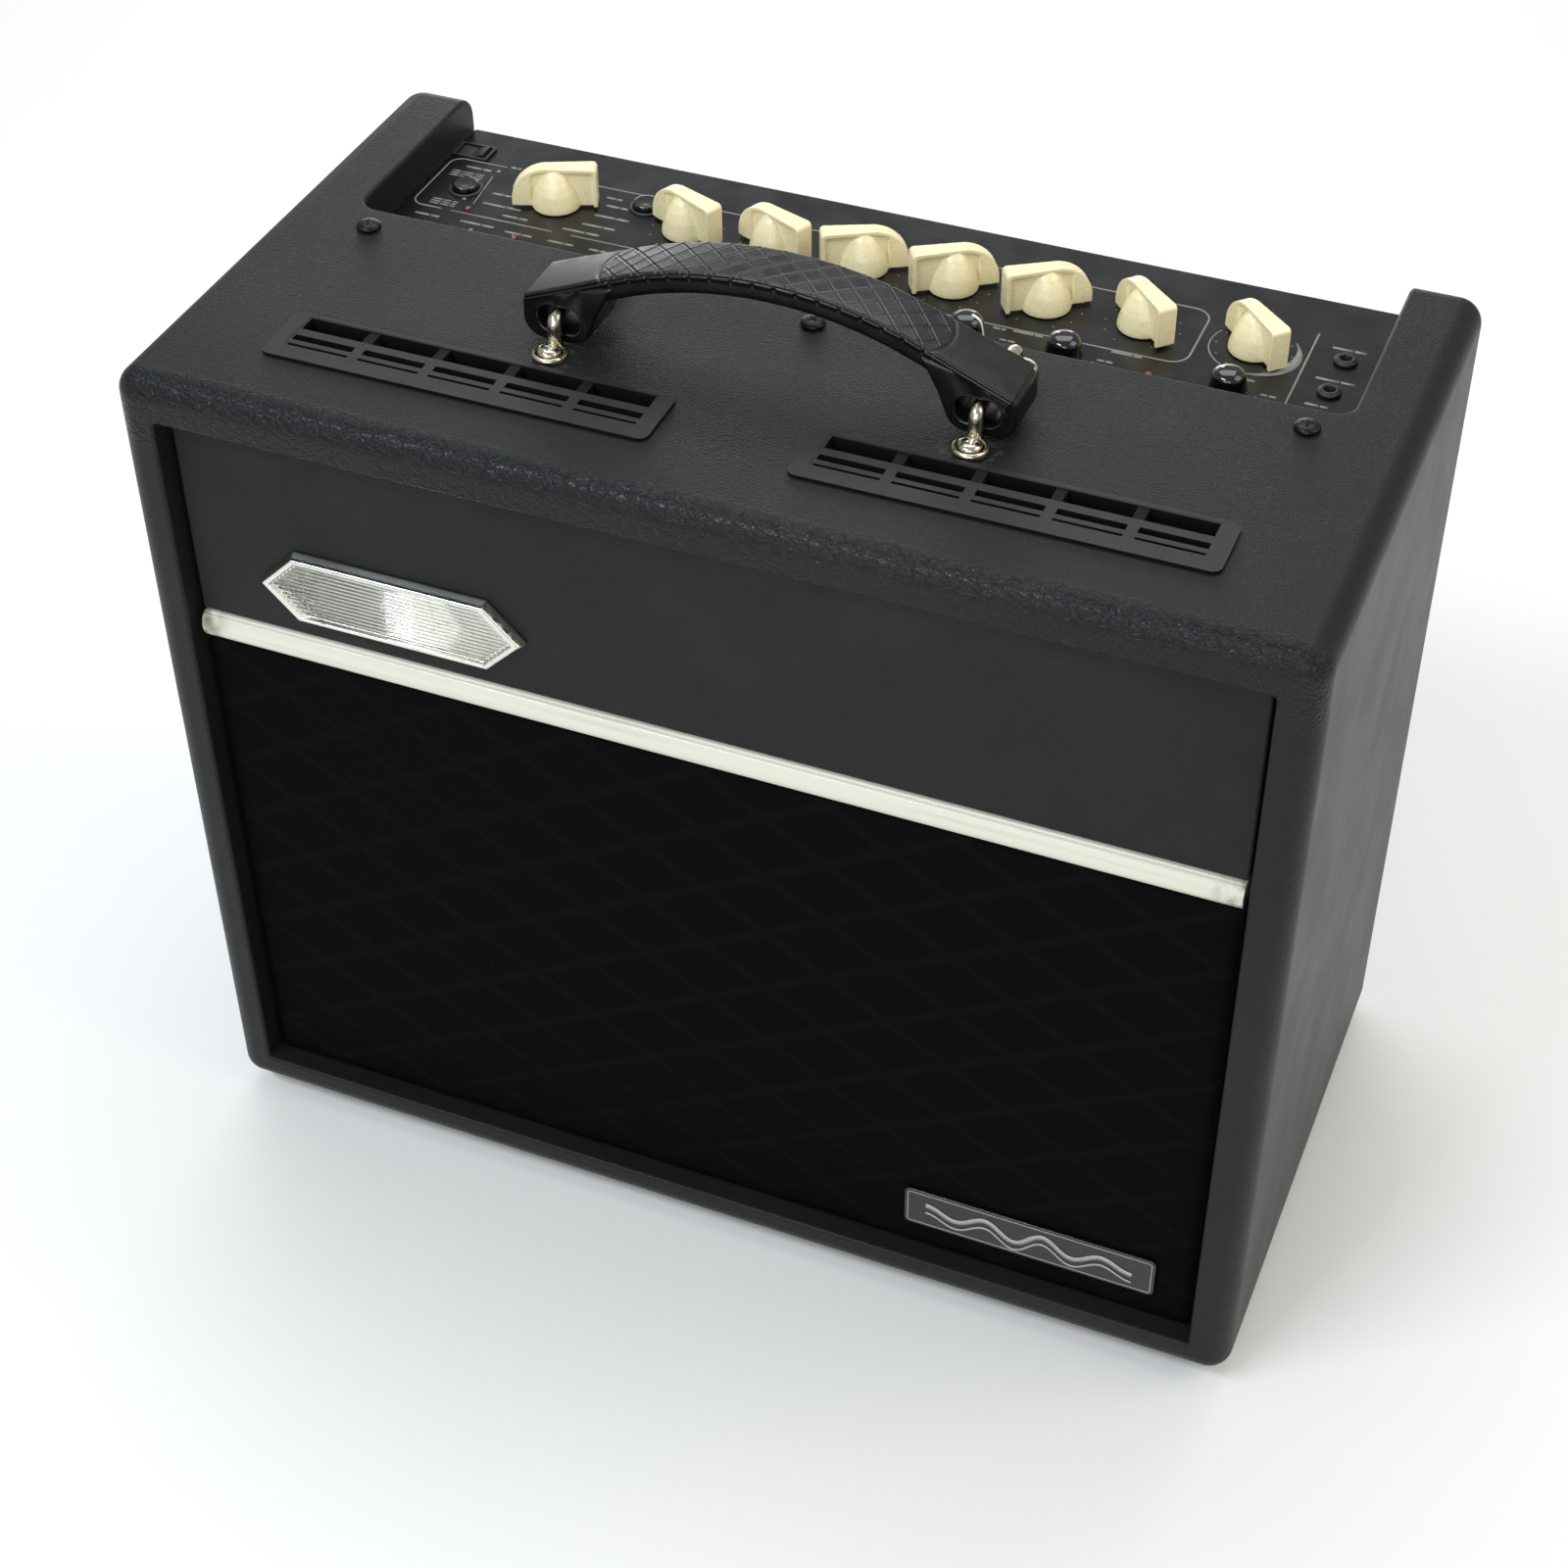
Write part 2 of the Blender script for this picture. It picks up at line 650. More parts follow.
def tube(path, radius, segments=16, bm=None):
    """A round bar along a path, closed at both ends."""
    bm = bm or bmesh.new()
    path = [Vector(point) for point in path]
    across = None
    rings = []
    for index, point in enumerate(path):
        ahead = (path[min(index + 1, len(path) - 1)] - path[max(index - 1, 0)]).normalized()
        if across is None:
            across = ahead.orthogonal().normalized()
        across = (across - ahead * across.dot(ahead)).normalized()
        other = ahead.cross(across)
        ring = []
        for step in range(segments):
            angle = 2 * math.pi * step / segments
            offset = (across * math.cos(angle) + other * math.sin(angle)) * radius
            ring.append(bm.verts.new(point + offset))
        rings.append(ring)
    for near, far in zip(rings, rings[1:]):
        for step in range(segments):
            following = (step + 1) % segments
            bm.faces.new((near[step], near[following], far[following], far[step]))
    bm.faces.new(rings[0])
    bm.faces.new(rings[-1])
    return bm


def stroke(points, width, base, height=0.05 * MM, closed=False, place=flat, bm=None):
    """A thin raised line of the given width through the points, as printing is."""
    bm = bm or bmesh.new()
    points = [Vector(point) for point in points]
    count = len(points)
    rings = []
    for index, point in enumerate(points):
        before = points[index - 1] if closed or index else None
        after = points[(index + 1) % count] if closed or index < count - 1 else None
        legs = [leg.normalized() for leg in (
            (point - before) if before is not None else None,
            (after - point) if after is not None else None,
        ) if leg is not None]
        along = (legs[0] + legs[-1]).normalized()
        side = Vector((-along.y, along.x))
        reach = width / 2 / max(0.5, along.dot(legs[0]))
        ring = []
        for sign, level in ((1, base), (-1, base), (-1, base + height), (1, base + height)):
            spot = point + side * reach * sign
            ring.append(bm.verts.new(place(spot.x, spot.y, level)))
        rings.append(ring)
    pairs = list(zip(rings, rings[1:] + rings[:1])) if closed else list(zip(rings, rings[1:]))
    for near, far in pairs:
        for step in range(4):
            following = (step + 1) % 4
            bm.faces.new((near[step], near[following], far[following], far[step]))
    if not closed:
        bm.faces.new(rings[0])
        bm.faces.new(rings[-1])
    return bm


# ---------------------------------------------------------------- cabinet
COVER_RADIUS = 9.5 * MM
CUT_EDGE = 1.6 * MM
CUTOUT_HALF = 192.5 * MM
CUTOUT_FRONT = 19.7 * MM
CUTOUT_CORNER = 7 * MM
WELL = {"x0": 30 * MM, "x1": 171 * MM, "y0": -79.2 * MM, "y1": -57.4 * MM}


def rounded_block(low, high, radius, steps=8):
    """A closed block with every edge and corner rounded."""
    bm = bmesh.new()
    offsets = [radius * math.tan(math.pi / 4 * step / steps) for step in range(steps + 1)]
    lines = []
    for a, b in zip(low, high):
        start = [a + radius - offset for offset in reversed(offsets)]
        lines.append(start + [b - radius + offset for offset in offsets])
    inner_low = Vector(low) + Vector((radius,) * 3)
    inner_high = Vector(high) - Vector((radius,) * 3)

    def on_surface(point):
        inner = Vector(min(max(p, a), b) for p, a, b in zip(point, inner_low, inner_high))
        return inner + (point - inner).normalized() * radius

    for axis in range(3):
        first, second = [other for other in range(3) if other != axis]
        for end in (low[axis], high[axis]):
            grid = []
            for u in lines[first]:
                row = []
                for v in lines[second]:
                    point = Vector((0, 0, 0))
                    point[axis], point[first], point[second] = end, u, v
                    row.append(bm.verts.new(on_surface(point)))
                grid.append(row)
            for row, following in zip(grid, grid[1:]):
                for index in range(len(row) - 1):
                    bm.faces.new((row[index], row[index + 1], following[index + 1], following[index]))
    return bm


def covering():
    """The boards under one covering: a rounded box with the front, back and controls cut out."""
    shell = mesh_from(rounded_block(
        (LEFT_LOW.x, LEFT_LOW.y, LEFT_LOW.z), (RIGHT_HIGH.x, RIGHT_HIGH.y, RIGHT_HIGH.z),
        COVER_RADIUS,
    ))
    beyond = 20 * MM
    tunnel = block(
        (LEFT_HIGH.x, LEFT_LOW.y - beyond, BOTTOM_HIGH.z),
        (RIGHT_LOW.x, LEFT_HIGH.y + beyond, TOP_LOW.z),
    )
    corner = [CUTOUT_CORNER, CUTOUT_CORNER, 0.1 * MM, 0.1 * MM]
    cutout = rounded_rectangle(-CUTOUT_HALF, CUTOUT_HALF, CUTOUT_FRONT, LEFT_HIGH.y + beyond, corner)
    tools = [mesh_from(tunnel), mesh_from(prism(cutout, TOP_LOW.z - beyond, TOP + beyond))]
    for side in (-1, 1):
        x0, x1 = sorted((side * WELL["x0"], side * WELL["x1"]))
        well = block((x0, WELL["y0"], TOP_LOW.z - beyond), (x1, WELL["y1"], TOP + beyond))
        tools.append(mesh_from(well))
    mesh = combined(shell, tools)
    mark_raw_inside(mesh)
    obj = piece("vinyl_covering", mesh, ["vinyl", "raw_board"],
                stands_for=("left_side_panel", "right_side_panel", "top_panel", "bottom_panel"))
    return soften(obj, CUT_EDGE, 4, 55)


def mark_raw_inside(mesh):
    """The covering wraps round the edges only: between them the boards are bare inside."""
    bm = bmesh.new()
    bm.from_mesh(mesh)

    def inside(face):
        centre = face.calc_center_median()
        across = LEFT_HIGH.x - 0.1 * MM < centre.x < RIGHT_LOW.x + 0.1 * MM
        return across and BOTTOM_HIGH.z - 0.1 * MM < centre.z < TOP_LOW.z + 0.1 * MM

    wrap_front, wrap_back = -90 * MM, 92 * MM
    for y in (wrap_front, wrap_back):
        faces = [face for face in bm.faces if inside(face)]
        edges = {edge for face in faces for edge in face.edges}
        vertices = {vertex for face in faces for vertex in face.verts}
        bmesh.ops.bisect_plane(bm, geom=[*vertices, *edges, *faces], plane_co=(0, y, 0),
                               plane_no=(0, 1, 0))
    for face in bm.faces:
        centre = face.calc_center_median()
        bare = inside(face) and wrap_front < centre.y < wrap_back
        face.material_index = 1 if bare else 0
    bm.to_mesh(mesh)
    bm.free()


def front():
    """Fascia, trim strip, grille cloth and what holds it."""
    low, high = FASCIA_LOW, FASCIA_HIGH
    fascia = piece("fascia_board", block(low, high), "fascia", stands_for=("front_fascia",))
    soften(fascia, 1.2 * MM, 4)
    trim_strip()
    grille_cloth()


def trim_strip():
    """A half-round strip with a thin flat lip above and below."""
    low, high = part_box("trim_strip")
    face = FASCIA_LOW.y
    middle = (low.z + high.z) / 2
    half = (high.z - low.z) / 2
    lip = 0.7 * MM
    outline = [(high.y, low.z), (high.y, high.z), (face, high.z), (face - 0.6 * MM, high.z - 0.1 * MM)]
    for y, z in arc((0, 0), 1, 90, 270, 16):
        outline.append((face - 0.6 * MM + y * (face - low.y - 0.6 * MM), middle + z * (half - lip)))
    outline += [(face - 0.6 * MM, low.z + 0.1 * MM), (face, low.z)]
    strip = piece("ivory_strip", prism(outline, low.x, high.x, sideways), "trim",
                  stands_for=("trim_strip",))
    soften(strip, 0.3 * MM, 2, 50)


CLOTH_STEP = 4 * MM


def grille_cloth():
    """The cloth is stretched over its frame, so it lies a little deeper between the rails."""
    low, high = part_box("grille_cloth")
    window_low, window_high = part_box("grille_frame")
    rail = 28 * MM
    columns = round((high.x - low.x) / CLOTH_STEP)
    rows = round((high.z - low.z) / CLOTH_STEP)
    sag = 0.5 * MM
    turn = 0.9 * MM
    bm = bmesh.new()
    grid = []
    for row in range(-1, rows + 2):
        line = []
        for column in range(-1, columns + 2):
            u = min(max(column / columns, 0), 1)
            v = min(max(row / rows, 0), 1)
            x = low.x + (high.x - low.x) * u
            z = low.z + (high.z - low.z) * v
            edge = min(x - window_low.x, window_high.x - x, z - window_low.z, window_high.z - z)
            over = min(max((edge - rail) / (2 * rail), 0), 1)
            depth = low.y + 0.3 * MM * (1 - min(edge / (2 * MM), 1)) + sag * over
            if row in (-1, rows + 1) or column in (-1, columns + 1):
                depth = low.y + turn
            line.append(bm.verts.new((x, depth, z)))
        grid.append(line)
    for line, following in zip(grid, grid[1:]):
        for index in range(len(line) - 1):
            bm.faces.new((line[index], line[index + 1], following[index + 1], following[index]))
    cloth = piece("stretched_grille_cloth", bm, "grille_cloth", stands_for=("grille_cloth",))


# ---------------------------------------------------------------- badge and nameplate
BADGE_RIM = 3.2 * MM
RIB_PITCH = 1.7 * MM
RIB_RADIUS = 0.62 * MM


def hexagon(centre, half_length, half_height):
    """A long hexagon with ends pointed at 90 degrees."""
    x, z = centre
    shoulder = half_length - half_height
    return [(x - half_length, z), (x - shoulder, z - half_height), (x + shoulder, z - half_height),
            (x + half_length, z), (x + shoulder, z + half_height), (x - shoulder, z + half_height)]


def badge():
    """A chrome hexagon with a raised rim round level ribs."""
    low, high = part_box("badge")
    centre = ((low.x + high.x) / 2, (low.z + high.z) / 2)
    half_length, half_height = (high.x - low.x) / 2, (high.z - low.z) / 2
    inner_length, inner_height = half_length - 1.6 * BADGE_RIM, half_height - BADGE_RIM
    floor_y = high.y - 2.6 * MM
    steps = [(0, high.y), (0, high.y - 1.2 * MM), (1.1 * MM, low.y + 0.5 * MM),
             (1.6 * MM, low.y)]
    rim = loft([(hexagon(centre, half_length - 1.4 * inset, half_height - inset), y)
                for inset, y in steps], upright)
    pocket = loft([
        (hexagon(centre, inner_length + 1.0 * MM, inner_height + 0.7 * MM), low.y - 1 * MM),
        (hexagon(centre, inner_length + 0.6 * MM, inner_height + 0.4 * MM), low.y + 0.4 * MM),
        (hexagon(centre, inner_length, inner_height), floor_y),
    ], upright)
    mesh = combined(mesh_from(rim), [mesh_from(pocket)])
    plate = piece("badge_plate", mesh, "chrome", stands_for=("badge",))
    soften(plate, 0.25 * MM, 2, 25)
    ribs = bmesh.new()
    rows = int(inner_height / RIB_PITCH)
    for row in range(-rows, rows + 1):
        rise = row * RIB_PITCH
        reach = inner_length - abs(rise) - 0.9 * MM
        outline = [(floor_y + y, centre[1] + rise + z)
                   for y, z in arc((0, 0), RIB_RADIUS, 90, 270, 6)]
        outline.append((floor_y + 0.2 * MM, centre[1] + rise))
        prism(outline, centre[0] - reach, centre[0] + reach, sideways, ribs)
    piece("badge_ribs", ribs, "chrome")


def nameplate():
    """A gloss black plate with a fine border and a plain silver wave."""
    low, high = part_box("nameplate")
    corner = 2.2 * MM
    outline = rounded_rectangle(low.x, high.x, low.z, high.z, corner)
    plate = piece("wave_nameplate", prism(outline, low.y + 0.4 * MM, high.y, upright),
                  "gloss_plate", stands_for=("nameplate",))
    soften(plate, 0.4 * MM, 3)
    face = low.y + 0.4 * MM
    edge = 1.5 * MM
    border = rounded_rectangle(low.x + edge, high.x - edge, low.z + edge, high.z - edge, 1.2 * MM)
    marks = stroke(border, 0.4 * MM, face, -0.1 * MM, closed=True, place=upright)
    centre = (low + high) / 2
    half = (high.x - low.x) / 2 - 9 * MM
    waves = 3.5
    for shift, width in ((0.9 * MM, 2.2 * MM), (-3.4 * MM, 0.9 * MM)):
        points = []
        for step in range(121):
            along = step / 60 - 1
            swing = math.sin(along * waves * math.pi) * 4.2 * MM * (1 - 0.55 * abs(along))
            points.append((centre.x + along * half, centre.z + shift + swing))
        stroke(points, width, face, -0.35 * MM, place=upright, bm=marks)
    piece("nameplate_wave", marks, "silver_print")


# ---------------------------------------------------------------- vent grilles
VENT_COLUMNS = 5
VENT_PITCH = 28 * MM
VENT_SLOT = 24 * MM
VENT_ROWS = [(-66 * MM, -58.6 * MM), (-73.2 * MM, -69.9 * MM), (-76.9 * MM, -75.6 * MM)]


def vent_grille(side):
    """A moulded plate with three rows of slots, the widest at the back and stepped down."""
    low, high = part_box(f"vent_grille_{side}")
    face = high.z
    underside = face - 1 * MM
    plate = mesh_from(prism(rounded_rectangle(low.x, high.x, low.y, high.y, 3.5 * MM),
                            underside, face))
    middle = (low.x + high.x) / 2
    half = (VENT_COLUMNS - 1) / 2 * VENT_PITCH + VENT_SLOT / 2
    collar = block((middle - half - 2 * MM, -78.8 * MM, low.z), (middle + half + 2 * MM, -57.7 * MM,
                                                                 underside + 0.3 * MM))
    body = combined(plate, [mesh_from(collar)], "UNION")
    back_low, back_high = VENT_ROWS[0]
    step = block((middle - half, back_low, face - 0.45 * MM), (middle + half, back_high, face + 1 * MM))
    panel = block((middle - half - 1 * MM, -77.6 * MM, face - 0.12 * MM),
                  (middle + half + 1 * MM, back_high + 0.5 * MM, face + 1 * MM))
    tools = [mesh_from(step), mesh_from(panel)]
    for column in range(VENT_COLUMNS):
        x = middle + (column - (VENT_COLUMNS - 1) / 2) * VENT_PITCH
        for front_y, back_y in VENT_ROWS:
            outline = rounded_rectangle(x - VENT_SLOT / 2, x + VENT_SLOT / 2, front_y, back_y,
                                        0.4 * MM, 3)
            tools.append(mesh_from(prism(outline, low.z - 1 * MM, face + 1 * MM)))
    mesh = combined(body, tools)
    for polygon in mesh.polygons:
        polygon.material_index = 1 if polygon.center.z < face - 0.4 * MM else 0
    grille = piece(f"vent_{side}", mesh, ["vent", "vent_inside"],
                   stands_for=(f"vent_grille_{side}",))
    soften(grille, 0.3 * MM, 3)


# ---------------------------------------------------------------- handle
HANDLE_SEGMENTS = 420
HATCH_PITCH = 6.6 * MM
BEAD_LENGTH = 7.8 * MM
HATCH_END = 62 * MM
HANDLE_OUTER = 150 * MM
HANDLE_THICKNESS = 10 * MM
HANDLE_HALF = 10.9 * MM
SIDE_HALF = 10.2 * MM
LUG_HALF = 11 * MM
RIDGE_UP = 2.7 * MM  # the ridge along each side, above the strap's middle
GROOVE_UP = 3.7 * MM


def smoothstep(value, low, high):
    t = min(max((value - low) / (high - low), 0), 1)
    return t * t * (3 - 2 * t)


HANDLE_BEND = math.radians(22)  # past this angle each end runs straight
HANDLE_REACH = 93 * MM  # from the middle to an end, along the strap
END_FLARE = 0.09


def strap_frame(s, centre_z):
    """A point on the strap's middle line, as x and z, and the direction that is up there."""
    middle_radius = HANDLE_OUTER - HANDLE_THICKNESS / 2
    bend = HANDLE_BEND * middle_radius
    angle = math.copysign(min(abs(s), bend) / middle_radius, s)
    past = math.copysign(max(abs(s) - bend, 0), s)
    x = middle_radius * math.sin(angle) + past * math.cos(angle)
    z = centre_z + middle_radius * math.cos(angle) - past * math.sin(angle)
    return Vector((x, z)), Vector((math.sin(angle), math.cos(angle)))


def half_section():
    """Half of the strap's section, from the middle of its top round to the middle underneath."""
    top, half = HANDLE_THICKNESS / 2, HANDLE_HALF
    corner, belly = 0.85 * MM, 3.4 * MM
    points = [(half * step / 24, top - 0.2 * MM * (step / 24) ** 2) for step in range(22)]
    points += arc((half - corner, top - 0.2 * MM - corner), corner, 90, 0, 6)
    points += [(half - 0.1 * MM, GROOVE_UP + 0.2 * MM), (half - 0.7 * MM, GROOVE_UP)]
    points += [(half - 0.5 * MM, GROOVE_UP - 0.3 * MM)]
    points += arc((half - 0.75 * MM, RIDGE_UP), 0.75 * MM, 60, -60, 6)
    points += [(SIDE_HALF, RIDGE_UP - 1.1 * MM), (SIDE_HALF, 0.5 * MM)]
    points += arc((SIDE_HALF - belly, belly - top), belly, 0, -90, 8)
    points += [(SIDE_HALF * 0.3, -top)]
    return points


def handle_section():
    """The strap's section as (across, up, outward normal), anticlockwise."""
    right = half_section()
    left = [(-u, v) for u, v in reversed(right) if u > 0]
    points = [Vector(point) for point in reversed([*right, *left])]
    section = []
    for before, point, after in zip([points[-1], *points], points, [*points[1:], points[0]]):
        along = (after - before).normalized()
        section.append((point.x, point.y, Vector((along.y, -along.x))))
    return section


def handle_relief(s, across, up):
    """How far the strap's surface stands out from its plain section."""
    within = 1 - smoothstep(abs(s), HATCH_END, HATCH_END + 1 * MM)
    if up > GROOVE_UP + 0.4 * MM:
        bow = HATCH_END + 3 * MM - 4 * MM * (across / HANDLE_HALF) ** 2
        relief = -0.25 * MM * math.exp(-((abs(s) - bow) / (0.5 * MM)) ** 2)
        nearest = 1.0
        for sign in (-1, 1):
            line = (s + sign * across) / math.sqrt(2) / HATCH_PITCH
            nearest = min(nearest, abs(line - round(line)) * HATCH_PITCH / MM)
        hatch = -0.4 * (1 - smoothstep(nearest, 0.02, 0.4)) + 0.12 * (1 - smoothstep(nearest, 0.45, 1.1))
        return relief + hatch * MM * within
    if abs(up - GROOVE_UP) < 0.35 * MM:
        return max(HANDLE_HALF - 0.05 * MM - abs(across), 0) * (1 - within)
    if up > RIDGE_UP - 1.0 * MM:
        notch = abs(s / BEAD_LENGTH - math.floor(s / BEAD_LENGTH) - 0.5) * BEAD_LENGTH
        return -0.85 * MM * (1 - smoothstep(notch, 0.25 * MM, 0.7 * MM)) * within
    return 0.0


def handle():
    """A moulded rubber strap: cross-hatched on top, beaded along both edges, with an eye at each end."""
    low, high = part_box("handle_grip")
    y0 = (low.y + high.y) / 2
    centre_z = high.z - HANDLE_OUTER
    section = handle_section()
    bm = bmesh.new()
    rings = []
    for step in range(HANDLE_SEGMENTS + 1):
        s = HANDLE_REACH * (2 * step / HANDLE_SEGMENTS - 1)
        middle, rise = strap_frame(s, centre_z)
        flare = 1 + END_FLARE * smoothstep(abs(s), 50 * MM, 88 * MM)
        ring = []
        for across, up, normal in section:
            relief = handle_relief(s, across, up)
            y = across * flare + normal.x * relief
            spot = middle + rise * (up + normal.y * relief - 0.1 * MM)
            ring.append(bm.verts.new((spot.x, y0 + y, spot.y)))
        rings.append(ring)
    for near, far in zip(rings, rings[1:]):
        for index in range(len(near)):
            following = (index + 1) % len(near)
            bm.faces.new((near[index], near[following], far[following], far[index]))
    bm.faces.new(rings[0])
    bm.faces.new(rings[-1])
    strap = mesh_from(bm)
    lugs = [handle_lug(side, low, high, y0, centre_z) for side in (-1, 1)]
    lugs += [eye_rim(side, y0, end) for side in (-1, 1) for end in (-1, 1)]
    body = combined(strap, lugs, "UNION", solver="MANIFOLD")
    eyes = [handle_eye(side, y0) for side in (-1, 1)]
    piece("handle_strap", combined(body, eyes, solver="MANIFOLD"), "handle", "handle",
          stands_for=("handle_grip",))


def handle_lug(side, low, high, y0, centre_z):
    """The block at an end of the strap that the eye goes through."""
    half = LUG_HALF
    end = high.x
    bottom = low.z
    outline = []
    for s, up in ((58, 0), (70, 2), (80, 4.2), (90, 4.2)):
        middle, rise = strap_frame(s * MM, centre_z)
        outline.append(tuple(middle + rise * up * MM))
    top = outline[-1][1]
    outline += [(end - 1.2 * MM, top - 1.8 * MM), (end - 0.2 * MM, top - 4 * MM),
                (end, bottom + 9 * MM)]
    outline += arc((end - 7.5 * MM, bottom + 7.5 * MM), 7.5 * MM, 0, -90, 8)
    outline += arc((73.5 * MM, bottom + 7.5 * MM), 7.5 * MM, 270, 192, 8)
    outline += [(63 * MM, bottom + 14 * MM)]
    outline = [(side * x, z) for x, z in outline]
    lug = link("lug", mesh_from(prism(outline, y0 - half, y0 + half, upright)))
    bevel = lug.modifiers.new("edges", "BEVEL")
    bevel.width = 1.3 * MM
    bevel.segments = 5
    bevel.angle_limit = math.radians(50)
    flattened(lug)
    mesh = lug.data
    bpy.data.objects.remove(lug)
    mesh.polygons.foreach_set("use_smooth", [True] * len(mesh.polygons))
    return mesh


def eye_outline(side, grow):
    edges = sorted((side * (70 * MM - grow), side * (86 * MM + grow)))
    return rounded_rectangle(*edges, 374 * MM - grow, 384 * MM + grow, 4.5 * MM + grow, 8)


def eye_rim(side, y0, end):
    """The rounded rim round one mouth of an eye."""
    layers = []
    for grow, rise in ((1.3, -0.4), (1.2, 0.0), (0.9, 0.15), (0.4, 0.15)):
        layers.append((eye_outline(side, grow * MM), y0 + end * (LUG_HALF + rise * MM)))
    return mesh_from(loft(layers, upright))


def handle_eye(side, y0):
    """The slot for the bracket's rod, opened out at both mouths."""
    layers = []
    rim = LUG_HALF / MM
    for grow, depth in ((0.6, -rim - 3), (0.6, -rim - 0.3), (0, -rim + 0.6), (0, rim - 0.6),
                        (0.6, rim + 0.3), (0.6, rim + 3)):
        layers.append((eye_outline(side, grow * MM), y0 + depth * MM))
    return mesh_from(loft(layers, upright))


# ---------------------------------------------------------------- screws and brackets
def cross_recess(length, depth, top, bm=None):
    """The tapered cross of a Phillips screw, cut down from top."""
    arm = 0.19 * length
    plus = [(length, arm), (arm, arm), (arm, length), (-arm, length), (-arm, arm), (-length, arm),
            (-length, -arm), (-arm, -arm), (-arm, -length), (arm, -length), (arm, -arm),
            (length, -arm)]
    layers = [([(u * scale, v * scale) for u, v in plus], level)
              for scale, level in ((1.1, top + 0.5 * MM), (1, top), (0.35, top - depth))]
    return loft(layers, flat, bm)


def screw_mesh(radius, height, shank_radius, shank, domed=0.65):
    """A domed cross-head screw along +Z with its seat at the origin."""
    shoulder = height * (1 - domed)
    profile = [(0, -shank), (shank_radius, -shank), (shank_radius, 0), (radius * 0.96, 0),
               (radius, 0.12 * height), (radius, shoulder)]
    for step in range(1, 9):
        angle = math.pi / 2 * step / 8
        profile.append((radius * math.cos(angle) if step < 8 else 0,
                        shoulder + domed * height * math.sin(angle)))
    head = mesh_from(lathe(profile, segments=48))
    recess = cross_recess(0.52 * radius, 0.62 * height, height)
    return combined(head, [mesh_from(recess)])


def turned_to(axis, place, turn=0.0):
    """The matrix that stands a mesh made along +Z on a place, along an axis."""
    aim = Vector(axis).to_track_quat("Z", "Y").to_matrix().to_4x4()
    return Matrix.Translation(place) @ aim @ Matrix.Rotation(math.radians(turn), 4, "Z")


def bracket(side):
    """A plated wire through the handle's eye, with an eyelet at the foot of each post."""
    node = f"handle_bracket_{side}"
    low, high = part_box(node)
    x = (low.x + high.x) / 2
    y0 = (low.y + high.y) / 2
    radius = 2.6 * MM
    rod_z = high.z - radius
    post = 21 * MM
    bend = 3.4 * MM
    path = [(x, y0 - post, low.z + 0.6 * MM), (x, y0 - post, (low.z + rod_z - bend) / 2)]
    path += [(x, y0 + y, z) for y, z in arc((-post + bend, rod_z - bend), bend, 180, 90, 8)]
    path += [(x, y0 + y, z) for y, z in arc((post - bend, rod_z - bend), bend, 90, 0, 8)]
    path += [(x, y0 + post, (low.z + rod_z - bend) / 2), (x, y0 + post, low.z + 0.6 * MM)]
    bm = tube(path, radius, 28)
    eyelet = 26 * MM
    ring = [(2.5, 0), (6.1, 0), (6.4, 0.4), (6.4, 1.5), (6.15, 2.2), (5.6, 2.6), (5.05, 2.4),
            (4.75, 1.9), (4.6, 1.2), (2.5, 1.2)]
    for end in (-1, 1):
        centre = (x, y0 + end * eyelet, low.z)
        lathe([(r * MM, z * MM) for r, z in ring], centre, bm=bm)
    piece(f"bracket_wire_{side}", bm, "nickel", stands_for=(node,))


def bracket_screws():
    mesh = screw_mesh(4.25 * MM, 2.9 * MM, 1.9 * MM, 12 * MM)
    for index, side in enumerate(("left", "right")):
        for number, row in enumerate(("front", "rear")):
            node = f"bracket_screw_{side}_{row}"
            low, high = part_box(node)
            seat = high.z - 3.2 * MM
            place = ((low.x + high.x) / 2, (low.y + high.y) / 2, seat)
            piece(f"eyelet_screw_{side}_{row}", mesh.copy(), "nickel", stands_for=(node,),
                  matrix=turned_to((0, 0, 1), place, 31 * index + 17 * number))


def chassis_screws():
    mesh = screw_mesh(4.7 * MM, 2.7 * MM, 2.0 * MM, 14 * MM)
    for index, side in enumerate(("left", "middle", "right")):
        node = f"chassis_screw_{side}"
        low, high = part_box(node)
        place = ((low.x + high.x) / 2, (low.y + high.y) / 2, TOP + 0.3 * MM)
        piece(f"panhead_screw_{side}", mesh.copy(), "black_screw", stands_for=(node,),
              matrix=turned_to((0, 0, 1), place, 12 + 40 * index))


# ---------------------------------------------------------------- knobs
KNOB_VOXEL = 0.22 * MM
HUB = [(0, 0), (9.6, 0), (9.6, 1.3), (9.25, 3.2), (8.3, 6.6), (6.8, 10.2), (5.1, 13.2),
       (3.6, 15.0), (2.0, 15.8), (0, 16.0)]
BLADE = {"back": -16.4, "tip": 17.2, "top": 16.7, "low": 0.6, "nose": 3.0, "crest": 3.0}
BLADE_BACK_HALF = 3.9
BLADE_TIP_HALF = 2.3
RIM = 1.6
POCKET = 1.5


def blade_half(x):
    """Half the blade's thickness at x, in millimetres."""
    along = (x - BLADE["back"]) / (BLADE["tip"] - BLADE["back"])
    return BLADE_BACK_HALF + (BLADE_TIP_HALF - BLADE_BACK_HALF) * along


